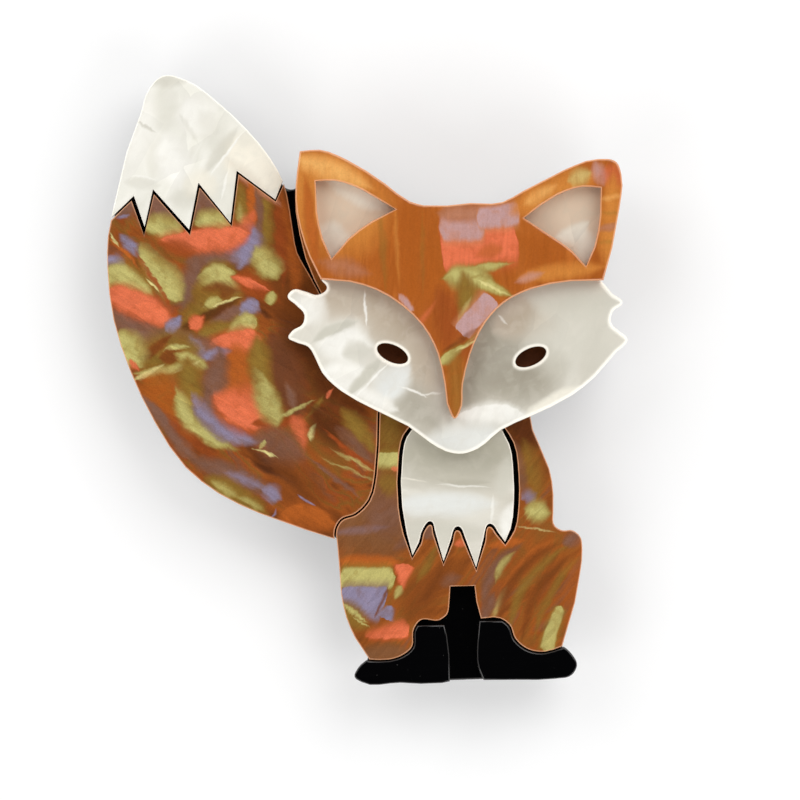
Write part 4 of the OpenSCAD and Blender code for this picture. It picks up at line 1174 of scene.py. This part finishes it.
def brushed_steel():
    """Steel with fine marks along the fitting, and duller and darker in patches."""
    material, tree, shader = new_material("brushed_steel")
    place, grain = plain_grain(tree, Streak_Size=MARK_SIZE)
    film = ramp(tree, noise(tree, place["Stirred"], *FILM_NOISE), *FILM_EDGE)
    colour = blend(tree, film, STEEL, DULL_STEEL)
    rough = maths(tree, "MULTIPLY_ADD", grain["Streaks"], *BRUSHED)
    marks = add_node(tree, "Bump", Height=grain["Streaks"], Strength=0.3, Distance=MARK_DEPTH)
    fill(
        tree, shader, Base_Color=colour, Roughness=rough, Normal=marks.outputs["Normal"], Metallic=1.0
    )
    return material


MATERIALS["steel"] = brushed_steel()
print("materials:", sorted(MATERIALS))

# %% [markdown]
# ## Putting the polished plates in place
#
# Each plate stands for the CAD plate of the same name and keeps its place, its outline and its
# thickness. The face plate has the broadest rounding, because it was buffed before the mask went on.

# %% Polish each plate
Plate = namedtuple("Plate", "node slot material front")
FINE = Rim(0.16 * MM, 0.16 * MM, 5)
FULL = Rim(0.24 * MM, 0.24 * MM, 6)
BROAD = Rim(0.55 * MM, 0.40 * MM, 9)
UNDER = Rim(0.10 * MM, 0.10 * MM, 3)
CREASE = math.radians(35)
PLAIN_FACE = 0.5 * MM * MM
UPRIGHT = 0.02
PLATES = [
    Plate("backing_plate", "black_acetate", "black", FULL),
    Plate("tail", "copper_acetate", "copper_tail", FINE),
    Plate("tail_tip", "pearl_acetate", "pearl_tip", FINE),
    Plate("body", "copper_acetate", "copper_body", FINE),
    Plate("chest_bib", "pearl_acetate", "pearl_bib", FINE),
    Plate("left_foot", "black_acetate", "black", FINE),
    Plate("right_foot", "black_acetate", "black", FINE),
    Plate("face_plate", "pearl_acetate", "pearl_face", BROAD),
    Plate("forehead_mask", "orange_acetate", "copper_mask", FULL),
]


def finish_piece(bm, name, node, material):
    """Turns a skin into a smooth-shaded piece that stands for a CAD node."""
    mesh = bpy.data.meshes.new(name)
    bm.to_mesh(mesh)
    bm.free()
    mesh.set_sharp_from_angle(angle=CREASE)
    walls, slopes = set(), set()
    for face in mesh.polygons:
        face.use_smooth = face.area < PLAIN_FACE or abs(face.normal.z) < FACING
        (walls if abs(face.normal.z) < UPRIGHT else slopes).update(face.edge_keys)
    for edge in mesh.edges:
        edge.use_edge_sharp = edge.use_edge_sharp or edge.key in walls & slopes
    mesh.materials.append(MATERIALS[material])
    piece = bpy.data.objects.new(name, mesh)
    bpy.context.scene.collection.objects.link(piece)
    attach(piece, "root")
    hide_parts(node)
    return piece


for plate in PLATES:
    bm = plate_skin(plate.node)
    round_rim(bm, 1, plate.front)
    round_rim(bm, -1, UNDER)
    piece = finish_piece(bm, "polished_" + plate.node, plate.node, plate.material)
    print(piece.name, "faces:", len(piece.data.polygons))

# %% [markdown]
# ## The pin fitting
#
# The fitting is one stamped and soldered piece: a bar, a knuckle with its barrel, a stem and a catch.
# Its corners are broken by a small bevel, as tumbling leaves them.

# %% Break the fitting's corners
PIN_BEVEL = 0.12 * MM
SHARP_CORNER = math.radians(50)

bm = joined_skin("brooch_pin")
corners = [edge for edge in bm.edges if edge.is_manifold and edge.calc_face_angle() > SHARP_CORNER]
bmesh.ops.bevel(
    bm, geom=corners, offset=PIN_BEVEL, offset_type="OFFSET", affect="EDGES", segments=3,
    profile=0.5, material=-1, clamp_overlap=True,
)
fitting = finish_piece(bm, "pin_fitting", "brooch_pin", "steel")
print("faces of the fitting:", len(fitting.data.polygons))
